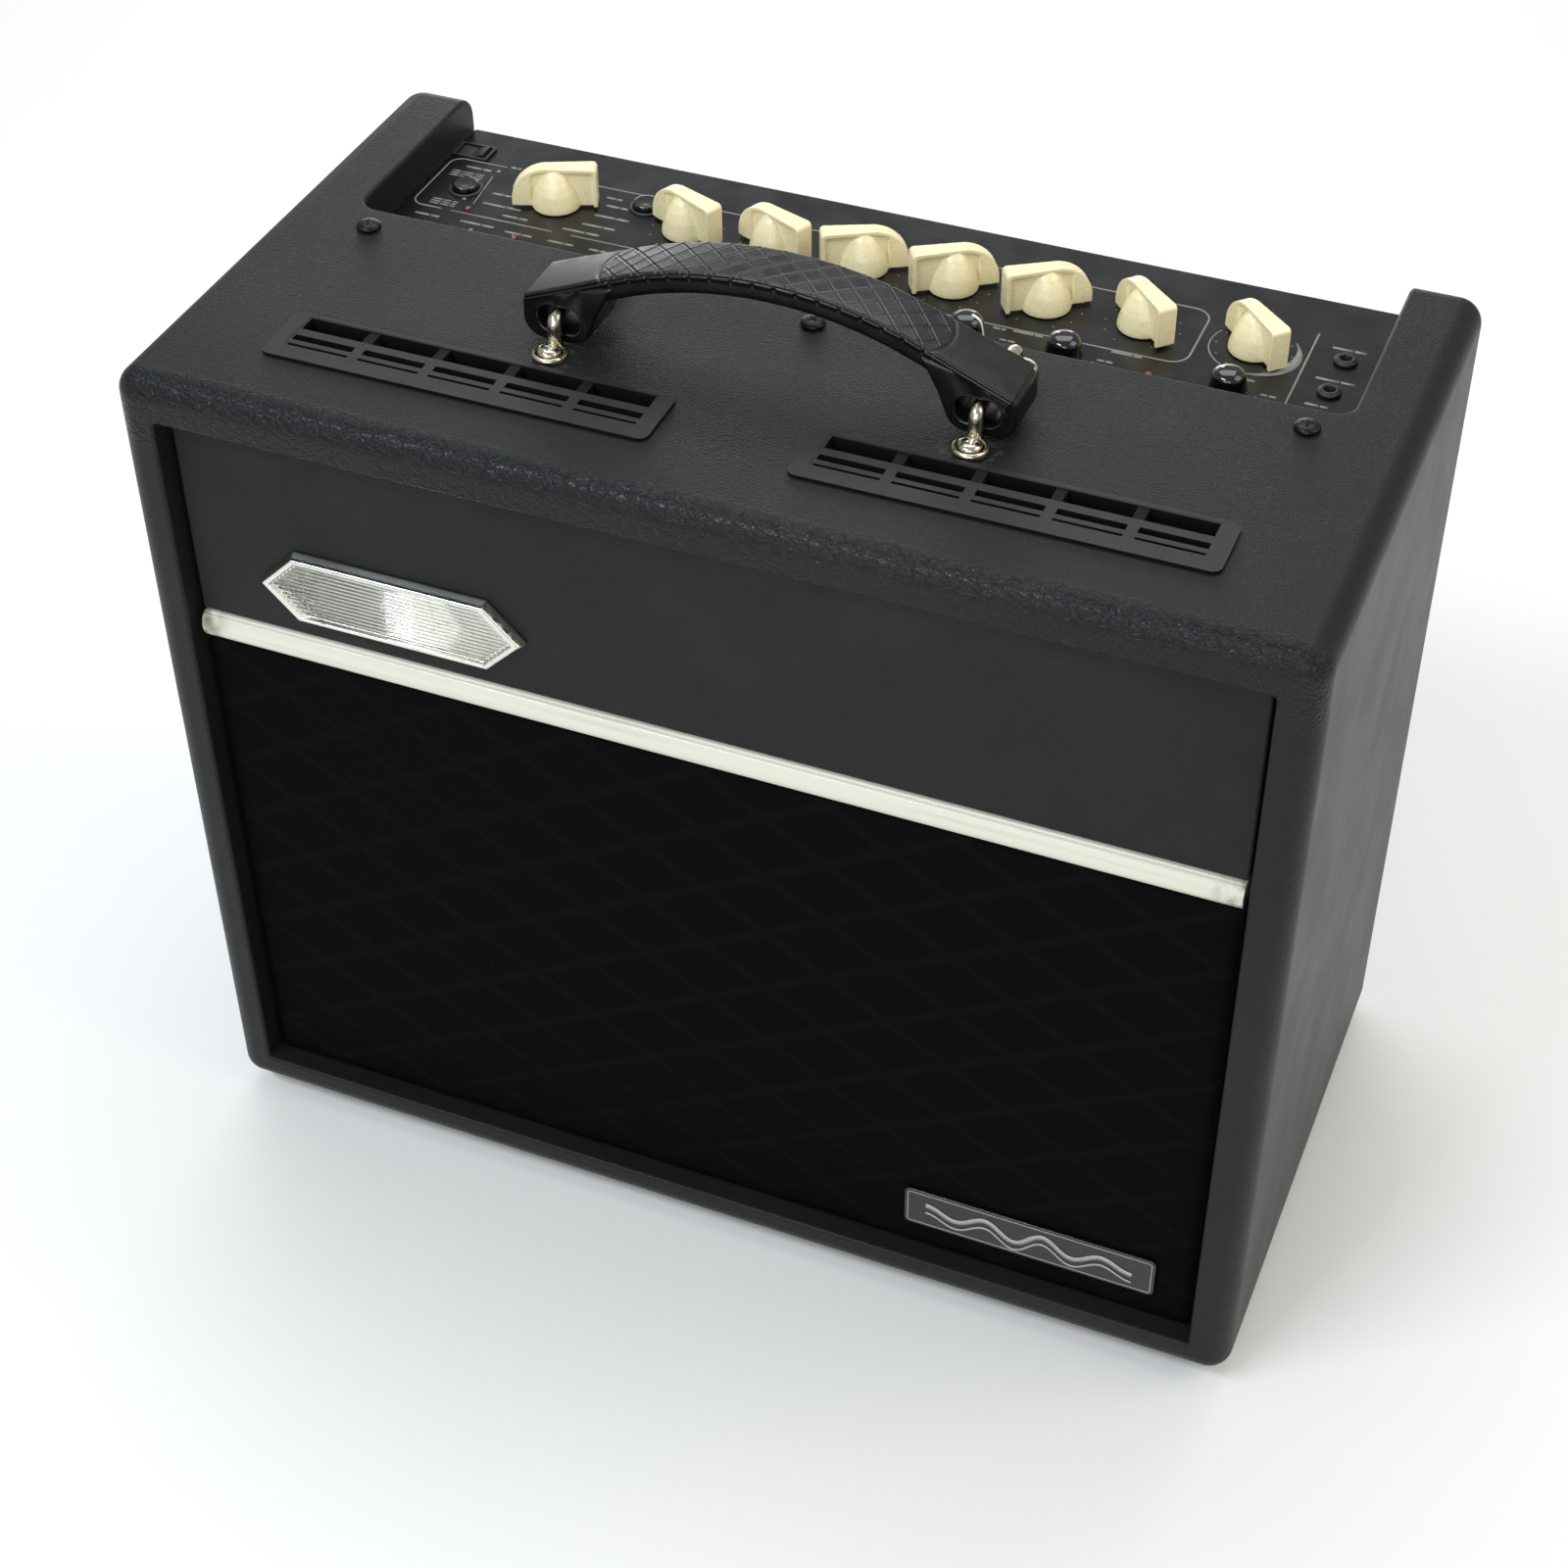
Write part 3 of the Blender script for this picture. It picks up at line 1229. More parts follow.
def blade_outline(inset=0.0, reach=None):
    """The blade seen from its side, in x and z: square behind, a quarter arc down to the nose."""
    back, top = BLADE["back"] + inset, BLADE["top"] - inset
    crest, nose = BLADE["crest"], BLADE["nose"]
    rx, rz = BLADE["tip"] - crest - inset, BLADE["top"] - nose - inset
    first = 0 if reach is None else math.acos((reach - crest) / rx)
    bottom = BLADE["low"] if reach is None else -1.0
    end = BLADE["tip"] - inset if reach is None else reach
    outline = [(back, bottom), (end, bottom)]
    for step in range(25):
        angle = first + (math.pi / 2 - first) * step / 24
        outline.append((crest + rx * math.cos(angle), nose + rz * math.sin(angle)))
    corner = 1.9 - 0.5 * inset
    outline += arc((back + corner, top - corner), corner, 90, 180, 8)
    return outline


def pointer_knob_mesh():
    """A pointer knob along +X with its base at z = 0, in metres."""
    def side_place(u, v, w):
        return Vector((u, w * blade_half(u), v)) * MM

    def straight_place(u, v, w):
        return Vector((u, w, v)) * MM

    blade = mesh_from(prism(blade_outline(), -1, 1, side_place))
    tools = []
    for sign in (-1, 1):
        shallow = 1 - POCKET / BLADE_BACK_HALF
        near, far = sorted((sign * shallow, sign * 1.4))
        tools.append(mesh_from(prism(blade_outline(RIM, 9.5), near, far, side_place)))
    groove = []
    for depth, steps in ((-1.0, range(21)), (0.65, reversed(range(21)))):
        rx = BLADE["tip"] - BLADE["crest"] - depth
        rz = BLADE["top"] - BLADE["nose"] - depth
        for step in steps:
            angle = math.radians(6 + 76 * step / 20)
            groove.append((BLADE["crest"] + rx * math.cos(angle), BLADE["nose"] + rz * math.sin(angle)))
    tools.append(mesh_from(prism(groove, -0.45, 0.45, straight_place)))
    blade = combined(blade, tools)
    hub = mesh_from(lathe([(r * MM, z * MM) for r, z in HUB], segments=96))
    bm = bmesh.new()
    bm.from_mesh(blade)
    bm.from_mesh(hub)
    knob = link("knob", mesh_from(bm))
    remesh = knob.modifiers.new("remesh", "REMESH")
    remesh.mode = "VOXEL"
    remesh.voxel_size = KNOB_VOXEL
    rounding = knob.modifiers.new("rounding", "SMOOTH")
    rounding.factor = 0.5
    rounding.iterations = 3
    thinning = knob.modifiers.new("thinning", "DECIMATE")
    thinning.ratio = 0.22
    flattened(knob)
    mesh = knob.data
    bpy.data.objects.remove(knob)
    mesh.polygons.foreach_set("use_smooth", [True] * len(mesh.polygons))
    return mesh


def main_knobs():
    mesh = pointer_knob_mesh()
    mesh.materials.append(LOOKS["cream"][0].material)
    for control in MAIN_CONTROLS:
        matrix = Matrix.Translation(joint_point(f"{control}_turn"))
        matrix = matrix @ Matrix.Rotation(pointer_angle(control), 4, "Z")
        piece(f"{control}_pointer", mesh, "cream", control, (f"{control}_knob",), matrix)


SMALL_KNOB = [(7.5, 0), (7.5, 1.6), (7.3, 3.4), (6.9, 6.4), (6.5, 9.0), (6.1, 10.8), (5.4, 12.2),
              (4.2, 13.2), (2.6, 13.8), (1.2, 14.0)]
MARK_WIDTH = 1.3 * MM


def small_knobs():
    """Domed gloss black knobs with a white mark that runs from the top down one side."""
    outer = smooth_path([(r, z, 0) for r, z in SMALL_KNOB], 4)
    profile = [(0, 0), *((point.x * MM, point.y * MM) for point in outer), (0, 14.05 * MM)]
    body = mesh_from(lathe(profile, segments=72))
    body.materials.append(LOOKS["black_knob"][0].material)
    mark = mark_mesh([(point.x * MM, point.y * MM) for point in outer if point.x > 1.9])
    mark.materials.append(LOOKS["white_mark"][0].material)
    for control in SMALL_CONTROLS:
        matrix = Matrix.Translation(joint_point(f"{control}_turn"))
        matrix = matrix @ Matrix.Rotation(pointer_angle(control), 4, "Z")
        piece(f"{control}_dome", body, "black_knob", control, (f"{control}_knob",), matrix)
        piece(f"{control}_mark", mark, "white_mark", control, (), matrix)


def mark_mesh(profile):
    """A painted stripe, a hair proud of the profile that it runs down."""
    bm = bmesh.new()
    rings = []
    for index, (radius, along) in enumerate(profile):
        before = Vector(profile[max(index - 1, 0)])
        after = Vector(profile[min(index + 1, len(profile) - 1)])
        run = (after - before).normalized()
        out = Vector((-run.y, run.x))
        if out.x + out.y < 0:
            out = -out
        ring = []
        for y, proud in ((-1, -0.2), (1, -0.2), (1, 0.07), (-1, 0.07)):
            half = y * MARK_WIDTH / 2
            bend = math.sqrt(max(radius ** 2 - half ** 2, 0)) - radius
            ring.append(bm.verts.new((radius + bend + out.x * proud * MM, half,
                                      along + out.y * proud * MM)))
        rings.append(ring)
    for near, far in zip(rings, rings[1:]):
        for step in range(4):
            following = (step + 1) % 4
            bm.faces.new((near[step], near[following], far[following], far[step]))
    bm.faces.new(rings[0])
    bm.faces.new(rings[-1])
    return mesh_from(bm)


def buttons():
    for control in ("preset_button", "select_button"):
        low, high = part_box(control)
        centre = ((low.x + high.x) / 2, (low.y + high.y) / 2, 0)
        r = 5.2 * MM
        top = high.z
        profile = [(0, low.z), (r, low.z), (r, top - 1.0 * MM)]
        profile += [(r - 0.9 * MM + x, top - 1.0 * MM + z) for x, z in arc((0, 0), 0.9 * MM, 15, 75, 4)]
        profile += [(r - 1.4 * MM, top - 0.1 * MM), (r * 0.45, top - 0.35 * MM), (0, top - 0.45 * MM)]
        piece(f"{control}_cap", lathe(profile, centre), "black_knob", control, (control,))
        ring = [(5.35, 0), (6.9, 0), (6.9, 0.35), (6.5, 0.7), (5.6, 0.7), (5.35, 0.45)]
        collar = lathe([(a * MM, PANEL_HIGH.z + b * MM) for a, b in ring], centre)
        piece(f"{control}_collar", collar, "socket")


def leds():
    for node in ("amp_led", "channel_led", "tempo_led"):
        low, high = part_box(node)
        centre = ((low.x + high.x) / 2, (low.y + high.y) / 2, 0)
        r = 1.45 * MM
        base = PANEL_HIGH.z - 3 * MM
        profile = [(0, base), (r, base), (r, high.z - 0.7 * MM)]
        for step in range(1, 7):
            angle = math.pi / 2 * step / 6
            profile.append((r * math.cos(angle) if step < 6 else 0,
                            high.z - 0.7 * MM + 0.7 * MM * math.sin(angle)))
        piece(f"{node}_lens", lathe(profile, centre, segments=32), "led", stands_for=(node,))


# ---------------------------------------------------------------- sockets and switch
def small_jacks():
    for node in ("aux_jack", "phones_jack"):
        low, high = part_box(node)
        centre = ((low.x + high.x) / 2, (low.y + high.y) / 2, 0)
        face, panel = high.z, PANEL_HIGH.z
        profile = [(2.1 * MM, panel - 9 * MM), (3.0 * MM, panel - 9 * MM), (3.0 * MM, panel + 0.1 * MM),
                   (4.4 * MM, panel + 0.1 * MM), (4.4 * MM, face - 0.9 * MM),
                   (4.1 * MM, face - 0.6 * MM), (3.5 * MM, face - 0.6 * MM), (3.3 * MM, face),
                   (2.5 * MM, face), (2.1 * MM, face - 0.5 * MM)]
        piece(f"{node}_ring", lathe(profile, centre, segments=48), "socket", stands_for=(node,))
        inner = [(1.6 * MM, panel - 8 * MM), (2.09 * MM, panel - 8 * MM), (2.09 * MM, panel - 3 * MM),
                 (1.6 * MM, panel - 3 * MM)]
        piece(f"{node}_contact", lathe(inner, centre, segments=32), "zinc")


def large_jack(node, axis):
    """A 6.35 mm jack: washer, hexagon nut and threaded bush round the bore."""
    low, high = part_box(node)
    face = {"z": PANEL_HIGH.z, "y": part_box("chassis_tray")[1].y}[axis]
    spot = (low + high) / 2
    place = Vector((spot.x, spot.y, face)) if axis == "z" else Vector((spot.x, face, spot.z))
    matrix = turned_to((0, 0, 1) if axis == "z" else (0, 1, 0), place)
    washer = [(4.6, 0.05), (7.0, 0.05), (7.0, 0.55), (6.8, 0.7), (4.6, 0.7)]
    metal = lathe([(r * MM, z * MM) for r, z in washer], segments=48)
    nut = [(6.2 * MM * math.cos(math.radians(60 * k)), 6.2 * MM * math.sin(math.radians(60 * k)))
           for k in range(6)]
    nut_mesh = combined(mesh_from(prism(nut, 0.7 * MM, 2.1 * MM)),
                        [mesh_from(lathe([(0, 0), (4.5 * MM, 0), (4.5 * MM, 4 * MM), (0, 4 * MM)]))])
    metal.from_mesh(nut_mesh)
    trim = piece(f"{node}_nut", metal, "nickel", matrix=matrix)
    soften(trim, 0.2 * MM, 2)
    bush = [(3.2, -12), (4.4, -12), (4.4, 2.0), (4.1, 2.4), (3.5, 2.4), (3.2, 2.1)]
    body = lathe([(r * MM, z * MM) for r, z in bush], segments=48)
    piece(f"{node}_bush", body, "socket", stands_for=(node,), matrix=matrix)


def switch_frame():
    low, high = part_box("power_switch")
    x, y = (low.x + high.x) / 2, (low.y + high.y) / 2
    half_x, half_y = 6.5 * MM, 4.35 * MM
    outer = prism(rounded_rectangle(x - half_x - 1.2 * MM, x + half_x + 1.2 * MM,
                                    y - half_y - 1 * MM, y + half_y + 1 * MM, 1 * MM),
                  PANEL_HIGH.z + 0.02 * MM, PANEL_HIGH.z + 1.1 * MM)
    inner = prism(rounded_rectangle(x - half_x, x + half_x, y - half_y, y + half_y, 0.4 * MM),
                  PANEL_HIGH.z - 1 * MM, PANEL_HIGH.z + 2 * MM)
    bezel = piece("switch_bezel", combined(mesh_from(outer), [mesh_from(inner)]), "socket")
    soften(bezel, 0.3 * MM, 3)


# ---------------------------------------------------------------- loudspeaker
BASKET = [
    (87.6, 0), (102.4, 0), (103, 0.6), (103, 1.5), (102.5, 2), (94.4, 2), (92.9, 2.6), (91.9, 4.2),
    (90.6, 8.4), (89.4, 10.4), (49, 46.3), (46.8, 47.6), (46, 49), (46, 50.7), (20, 50.7), (20, 49.4),
    (44.2, 49.4), (45.4, 46.9), (47.8, 44.7), (87.4, 9.6), (88.5, 8.0), (88.6, 3.2),
]
BASKET_WINDOWS = 6
FLANGE_SCREWS = 8


def speaker():
    """A pressed basket, a paper cone with a rolled surround, the spider and the magnet."""
    low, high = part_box("speaker_frame")
    front = low.y
    centre = Vector(((low.x + high.x) / 2, 0, (low.z + high.z) / 2))
    basket = mesh_from(lathe([(r * MM, front + y * MM) for r, y in BASKET], centre, "y", 128))
    windows = []
    for index in range(BASKET_WINDOWS):
        outline = rounded_rectangle(-21 * MM, 21 * MM, front + 13.2 * MM, front + 42 * MM, 6 * MM)
        window = mesh_from(prism(outline, 40 * MM, 110 * MM))
        turn = Matrix.Rotation(math.radians(index * 360 / BASKET_WINDOWS), 4, "Y")
        window.transform(Matrix.Translation(centre) @ turn)
        windows.append(window)
    frame_piece = piece("speaker_basket", combined(basket, windows), "basket",
                        stands_for=("speaker_frame",))
    soften(frame_piece, 0.3 * MM, 2)
    head = screw_mesh(3.6 * MM, 2.2 * MM, 1.6 * MM, 1.5 * MM)
    for index in range(FLANGE_SCREWS):
        angle = math.radians(360 * (index + 0.5) / FLANGE_SCREWS)
        spot = centre + Vector((97.6 * MM * math.cos(angle), front + 2 * MM, 97.6 * MM * math.sin(angle)))
        piece(f"flange_screw_{index + 1}", head.copy(), "black_screw",
              matrix=turned_to((0, 1, 0), spot, 23 * index))
    speaker_cone(centre)
    speaker_magnet(centre)


def speaker_cone(centre):
    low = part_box("speaker_cone")[0].y / MM
    neck = low + 31
    cap = [(17 * step / 10, neck - 6.5 * (1 - (step / 10) ** 2)) for step in range(11)]
    front = []
    for step in range(97):
        r = 17.5 + 66.5 * step / 96
        roll = 0.9 * math.sin((r - 70) / 7 * 2 * math.pi) if 70 < r < 84 else 0
        front.append((r, neck - 31 * (r - 17) / 67 + roll))
    back = [(r, y + 0.9) for r, y in reversed(front)]
    former = [(16.5, neck + 2.5), (16.5, neck + 14.8), (15, neck + 14.8), (15, neck + 1.5),
              (9, neck - 3), (0, neck - 5)]
    profile = [(r * MM, y * MM) for r, y in [*cap, *front, *back, *former]]
    piece("paper_cone", lathe(profile, centre, "y", 128), "cone_paper", "speaker_cone",
          ("speaker_cone",))
    spider = []
    for offset, steps in ((0.0, range(61)), (0.5, reversed(range(61)))):
        for step in steps:
            r = 16.6 + 27.4 * step / 60
            spider.append((r * MM, (neck + 9 + 0.8 * math.sin(r * 1.6) + offset) * MM))
    piece("cone_spider", lathe(spider, centre, "y", 96), "cone_paper", "speaker_cone")


def speaker_magnet(centre):
    """A ferrite ring between two steel plates, vented through the middle."""
    low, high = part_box("speaker_magnet")
    front, back = low.y / MM, high.y / MM
    ring = [(6, front + 5), (48.6, front + 5), (50, front + 6.4), (50, back - 7), (48.6, back - 5.6),
            (6, back - 5.6)]
    plates = bmesh.new()
    for start, end, r in ((front, front + 4.9, 46), (back - 5.5, back, 45)):
        plate = [(6.4, start), (r - 0.8, start), (r, start + 0.8), (r, end - 0.8), (r - 0.8, end),
                 (7.4, end), (6.4, end - 1)]
        lathe([(a * MM, y * MM) for a, y in plate], centre, "y", 96, plates)
    piece("magnet_ring", lathe([(a * MM, y * MM) for a, y in ring], centre, "y", 96), "ferrite",
          stands_for=("speaker_magnet",))
    soften(piece("magnet_plates", plates, "zinc"), 0.2 * MM, 2)


LEAD_ROUTE = [(70, 60, 295.6), (70, 60, 280), (64, 56, 252), (40, 30, 216), (14, -4, 205),
              (1, -16.5, 198), (0, -17, 190)]
TWIST_PITCH = 16 * MM


def speaker_lead():
    """Two insulated wires twisted together, from the chassis to the tags on the magnet."""
    path = smooth_path([Vector(point) * MM for point in LEAD_ROUTE], 24)
    wires = {"red_lead": [], "black_lead": []}
    length = 0.0
    for index, point in enumerate(path):
        before, after = path[max(index - 1, 0)], path[min(index + 1, len(path) - 1)]
        along = (after - before).normalized()
        across = along.cross(Vector((0.3, 1, 0.1))).normalized()
        other = along.cross(across)
        length += (point - before).length
        for phase, wire in enumerate(wires.values()):
            angle = 2 * math.pi * (length / TWIST_PITCH + phase / 2)
            wire.append(point + (across * math.cos(angle) + other * math.sin(angle)) * 1.25 * MM)
    for look, wire in wires.items():
        piece(f"speaker_{look}", tube(wire, 1.15 * MM, 16), look,
              stands_for=("speaker_lead",) if look == "red_lead" else ())
    tags = bmesh.new()
    block((-9 * MM, -21 * MM, 187.2 * MM), (9 * MM, -13 * MM, 189.4 * MM), tags)
    soften(piece("speaker_tag_strip", tags, "socket"), 0.5 * MM, 3)


# ---------------------------------------------------------------- back and feet
PANEL_SCREWS = (-176, -60, 60, 176)


def back_panels():
    """Two covered boards, each held by a row of screws along its edges."""
    head = screw_mesh(4.2 * MM, 2.0 * MM, 1.8 * MM, 3 * MM, 0.4)
    for node, rows in (("upper_back_panel", (8, -8)), ("lower_back_panel", (9, -12))):
        low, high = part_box(node)
        board = piece(f"{node}_board", block(low, high), "vinyl", stands_for=(node,))
        soften(board, 1.8 * MM, 5)
        for row, offset in zip(("low", "high"), rows):
            z = (low.z if offset > 0 else high.z) + offset * MM
            for number, x in enumerate(PANEL_SCREWS):
                piece(f"{node}_screw_{row}_{number + 1}", head.copy(), "black_screw",
                      matrix=turned_to((0, 1, 0), (x * MM, high.y, z), 29 * number + offset))


FOOT = [(0, 3.4), (4.1, 3.4), (4.4, 0.7), (5.2, 0), (10.6, 0), (11.9, 0.5), (12.4, 1.8), (12.1, 7.7),
        (0, 7.7)]


def feet():
    """Rubber feet, each with a screw sunk in its middle."""
    for row in ("front", "rear"):
        for side in ("left", "right"):
            node = f"foot_{row}_{side}"
            low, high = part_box(node)
            centre = ((low.x + high.x) / 2, (low.y + high.y) / 2, 0)
            rubber = lathe([(r * MM, z * MM) for r, z in FOOT], centre, segments=64)
            piece(f"{node}_rubber", rubber, "rubber", stands_for=(node,))
            head = screw_mesh(3.5 * MM, 1.6 * MM, 1.4 * MM, 1 * MM)
            piece(f"{node}_screw", head, "nickel",
                  matrix=turned_to((0, 0, -1), (centre[0], centre[1], 3.4 * MM), 40))


# ---------------------------------------------------------------- printing on the panel
PRINT_HEIGHT = 0.05 * MM
LINE = 0.75 * MM


PRINTED_WORDS = (  # left end, place across the panel and length of each dash, in millimetres
    (-182, 86, 11.5), (-165, 91.6, 5), (-184.5, 46.9, 11), (-165, 47.3, 15), (-145.2, 46.4, 12),
    (-127, 46.5, 11.3), (-109.4, 46.5, 7.6), (-162.7, 70.8, 8.5), (-162.9, 62.8, 17),
    (-151.6, 57, 11.4), (-119.5, 84.2, 7.3), (-117, 78.6, 10), (-118.2, 70.5, 15),
    (-119.9, 62.7, 14.3), (-125.5, 56.7, 16), (-158, 79, 6), (171.5, 83.8, 13), (170.5, 62.4, 15),
    (171, 45, 9), (52.3, 51.2, 5.6),
)
PRINTED_DOTS = ((-168, 87), (-103.7, 91.4), (-158, 42.8), (-181, 36.5), (-171, 63))


def panel_print():
    """Plain outlines, ticks and dashes where a panel has its words."""
    face = PANEL_HIGH.z
    bm = bmesh.new()

    def line(points, width=LINE, closed=False):
        stroke([(x * MM, y * MM) for x, y in points], width, face, PRINT_HEIGHT, closed, bm=bm)

    def dash(x, y, length, width=1.3, gaps=(0.62,)):
        """A bar broken at the given shares of its length, as a word is."""
        stops = [0.0, *gaps, 1.0]
        for start, end in zip(stops, stops[1:]):
            line([(x + start * length + 0.25, y), (x + end * length - 0.25, y)], width * MM)

    outline = [*arc((-184.5, 58), 5, 270, 180, 8), *arc((-184.5, 86), 5, 180, 90, 8)]
    line([(-176, 53), *outline, (-166, 91)])
    line([(-152, 91), (-106, 91)])
    line([(-99, 91), *arc((118, 84), 7, 90, 0, 8), *arc((118, 60), 7, 0, -90, 8), (-120, 53)])
    line([(-128, 53), (-172, 53)])
    line([(165, 42), (165, 91)])
    line([(-168.3, 82.6), (-165.9, 60.6)], 0.45 * MM)
    swoosh(bm, joint_point("power_level_turn") / MM)
    for x, y in PRINTED_DOTS:
        line([(x - 0.8, y), (x + 0.8, y)], 1.5 * MM)
    for x, y, length in PRINTED_WORDS:
        dash(x, y, length)
    for row in range(3):
        dash(-185.9, 81.6 - 1.7 * row, 14.5, 0.8, (0.3, 0.7))
        dash(-183.1, 59.3 - 1.6 * row, 11.5, 0.8, (0.4, 0.75))
    main = [joint_point(f"{name}_turn") / MM for name in MAIN_CONTROLS]
    for spot in main[1:]:
        dial_ticks(bm, spot, 14.2, 11)
        dash(spot.x - 6, spot.y - 20.2, 12, 1.4, (0.7,))
    for name in SMALL_CONTROLS:
        spot = joint_point(f"{name}_turn") / MM
        dial_ticks(bm, spot, 11.4, 7)
        dash(spot.x + 9.5, spot.y + 9.5, 6.5, 1.2, (0.5,))
        line([(spot.x + 8.6, spot.y - 6.8), (spot.x + 17, spot.y - 6.8)])
    piece("panel_print", bm, "panel_ink")


def swoosh(bm, spot, radius=16.4, start=150, sweep=245, steps=60):
    """A ring round a control that swells from a hairline to a crescent and closes to a point."""
    outline = []
    for side, order in ((-0.5, range(steps + 1)), (0.5, reversed(range(steps + 1)))):
        for step in order:
            share = step / steps
            width = 0.5 + 3.6 * max(0.0, math.sin(math.pi * max(share - 0.5, 0) / 0.5)) ** 1.5
            angle = math.radians(start + sweep * share)
            reach = radius + side * width
            outline.append(((spot.x + reach * math.cos(angle)) * MM,
                            (spot.y + reach * math.sin(angle)) * MM))
    for near, far in zip(range(steps), range(1, steps + 1)):
        quad = [outline[near], outline[far], outline[-1 - far], outline[-1 - near]]
        prism(quad, PANEL_HIGH.z, PANEL_HIGH.z + PRINT_HEIGHT, bm=bm)


def dial_ticks(bm, spot, radius, count):
    """Dots round a control, from its lower stop to its upper one."""
    for step in range(count):
        angle = math.radians(TURN_START + TURN_RANGE * step / (count - 1))
        x = (spot.x + radius * math.cos(angle)) * MM
        y = (spot.y + radius * math.sin(angle)) * MM
        stroke([(x - 0.32 * MM, y), (x + 0.32 * MM, y)], 0.64 * MM, PANEL_HIGH.z, PRINT_HEIGHT, bm=bm)


# ---------------------------------------------------------------- light and camera
CAMERA_AZIMUTH = 22.76
CAMERA_ELEVATION = 41.54
CAMERA_ROLL = -0.66
CAMERA_DISTANCE = 1.16721
CAMERA_TARGET = Vector((-11.27, 0, 148.97)) * MM
CAMERA_LENS = 65.58


def camera():
    azimuth, elevation, roll = map(math.radians, (CAMERA_AZIMUTH, CAMERA_ELEVATION, CAMERA_ROLL))
    back = Vector((math.sin(azimuth) * math.cos(elevation),
                   -math.cos(azimuth) * math.cos(elevation), math.sin(elevation)))
    right = (-back).cross(Vector((0, 0, 1))).normalized()
    up = right.cross(-back)
    axis_x = right * math.cos(roll) + up * math.sin(roll)
    axis_y = up * math.cos(roll) - right * math.sin(roll)
    data = bpy.data.cameras.new("camera")
    data.lens = CAMERA_LENS
    data.sensor_width = 36
    data.clip_start = 0.05
    data.clip_end = 50
    obj = bpy.data.objects.new("camera", data)
    turn = Matrix((axis_x, axis_y, back)).transposed().to_4x4()
    obj.matrix_world = Matrix.Translation(CAMERA_TARGET + back * CAMERA_DISTANCE) @ turn
    SCENE.collection.objects.link(obj)
    SCENE.camera = obj


def area_light(name, place, target, size, power, colour):
    data = bpy.data.lights.new(name, "AREA")
    data.shape = "RECTANGLE"
    data.size, data.size_y = size
    data.energy = power
    data.color = colour
    obj = bpy.data.objects.new(name, data)
    aim = Vector(target) - Vector(place)
    obj.matrix_world = Matrix.Translation(place) @ aim.to_track_quat("-Z", "Y").to_matrix().to_4x4()
    SCENE.collection.objects.link(obj)


WORLD_STRENGTH = 0.4
CABINET_MIDDLE = (0, 0, 0.2)
FRONT_TOP_EDGE = (0, -0.1, 0.36)
LIGHTS = (  # name, place, what it is aimed at, size, watts, colour
    ("key", (1.9, 0.3, 1.9), CABINET_MIDDLE, (1.6, 1.6), 19, (1, 0.96, 0.86)),
    ("top", (-0.3, 0.9, 2.2), CABINET_MIDDLE, (2.0, 1.4), 23, (0.93, 0.97, 1)),
    ("front_fill", (0.3, -2.4, 1.3), CABINET_MIDDLE, (2.2, 1.4), 24, (1, 0.99, 0.96)),
    ("edge", (-0.75, -1.35, 2.1), FRONT_TOP_EDGE, (1.1, 0.3), 28, (0.82, 0.91, 1)),
    ("rear", (-0.9, 2.2, 0.6), CABINET_MIDDLE, (1.6, 1.0), 12, (1, 1, 1)),
)


def studio():
    world = bpy.data.worlds.new("studio")
    world.use_nodes = True
    world.node_tree.nodes["Background"].inputs["Color"].default_value = (1, 1, 1, 1)
    world.node_tree.nodes["Background"].inputs["Strength"].default_value = WORLD_STRENGTH
    SCENE.world = world
    for light in LIGHTS:
        area_light(*light)
    SCENE.view_settings.view_transform = "Standard"


FLOOR_HALF = 6.0
FLOOR_THICKNESS = 0.02


def floor():
    look = Look("pale_floor", (236, 236, 234), 0.8)
    look.tint(look.noise(3, 3), (240, 240, 238))
    look.bump(look.noise(200, 3), 0.1 * MM, 0.3)
    low = (-FLOOR_HALF, -FLOOR_HALF, -FLOOR_THICKNESS)
    mesh = mesh_from(block(low, (FLOOR_HALF, FLOOR_HALF, 0)), "floor")
    mesh.materials.append(look.material)
    link("floor", mesh)


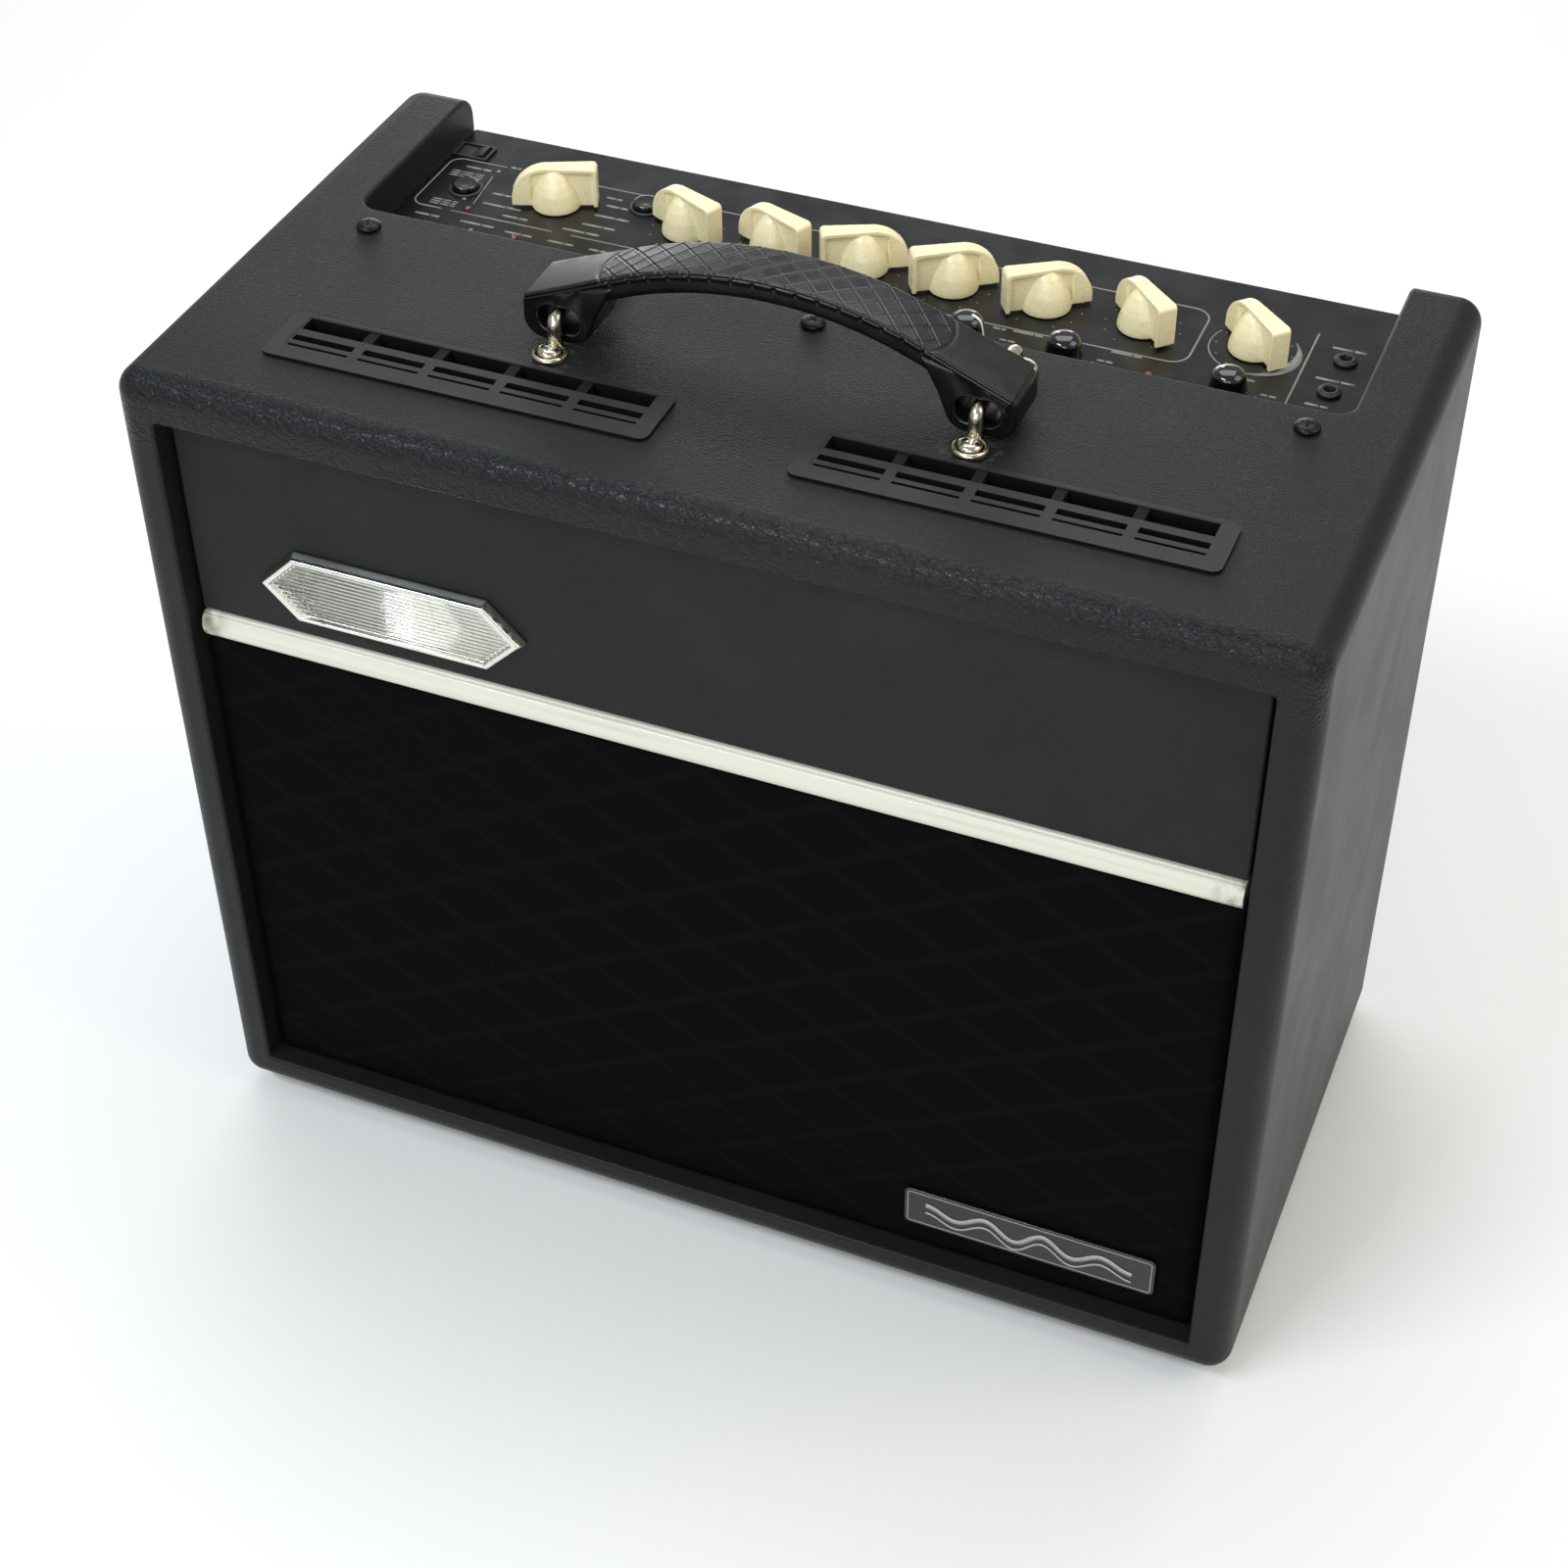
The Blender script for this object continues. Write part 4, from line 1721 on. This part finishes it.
# ---------------------------------------------------------------- making
CAD_LOOKS = {
    "painted_board": ("front_baffle", "grille_frame"),
    "vinyl": ("upper_back_panel", "lower_back_panel"),
    "rubber": ("foot_front_left", "foot_front_right", "foot_rear_left", "foot_rear_right"),
    "basket": ("speaker_frame",),
    "cone_paper": ("speaker_cone",),
    "ferrite": ("speaker_magnet",),
    "black_lead": ("speaker_lead",),
    "zinc": ("chassis_tray",),
    "panel": ("control_panel",),
    "circuit_board": ("control_board",),
    "transformer": ("transformer",),
    "tube_glass": ("preamp_tube",),
    "socket": ("power_inlet", "footswitch_jack", "input_jack", "aux_jack", "phones_jack",
               "power_switch"),
    "led": ("amp_led", "channel_led", "tempo_led"),
    "cream": tuple(f"{name}_knob" for name in MAIN_CONTROLS),
    "black_knob": ("preset_button", "select_button",
                   *(f"{name}_knob" for name in SMALL_CONTROLS)),
    "vent": ("vent_grille_left", "vent_grille_right"),
    "handle": ("handle_grip",),
    "nickel": ("handle_bracket_left", "handle_bracket_right", "bracket_screw_left_front",
               "bracket_screw_left_rear", "bracket_screw_right_front",
               "bracket_screw_right_rear"),
    "chrome": ("badge",),
    "gloss_plate": ("nameplate",),
    "black_screw": ("chassis_screw_left", "chassis_screw_middle", "chassis_screw_right"),
}
# how wide the softened edges of these nodes are, in millimetres
SOFTENED = {"front_baffle": 0.8, "grille_frame": 0.8, "chassis_tray": 0.3, "control_panel": 0.25,
            "power_inlet": 0.35, "power_switch": 0.35, "transformer": 0.5}


def dress_frame():
    """The nodes whose shape is already right get their own material and softer edges."""
    for look, nodes in CAD_LOOKS.items():
        for node in nodes:
            obj = frame["nodes"][node]
            for place in obj.material_slots:
                place.material = LOOKS[look][0].material
    for node, width in SOFTENED.items():
        soften(frame["nodes"][node], width * MM, 2)


camera()
studio()
floor()
dress_frame()
covering()
front()
badge()
nameplate()
for side in ("left", "right"):
    vent_grille(side)
    bracket(side)
handle()
bracket_screws()
chassis_screws()
main_knobs()
small_knobs()
buttons()
leds()
small_jacks()
large_jack("input_jack", "z")
large_jack("footswitch_jack", "y")
switch_frame()
panel_print()
speaker()
speaker_lead()
back_panels()
feet()
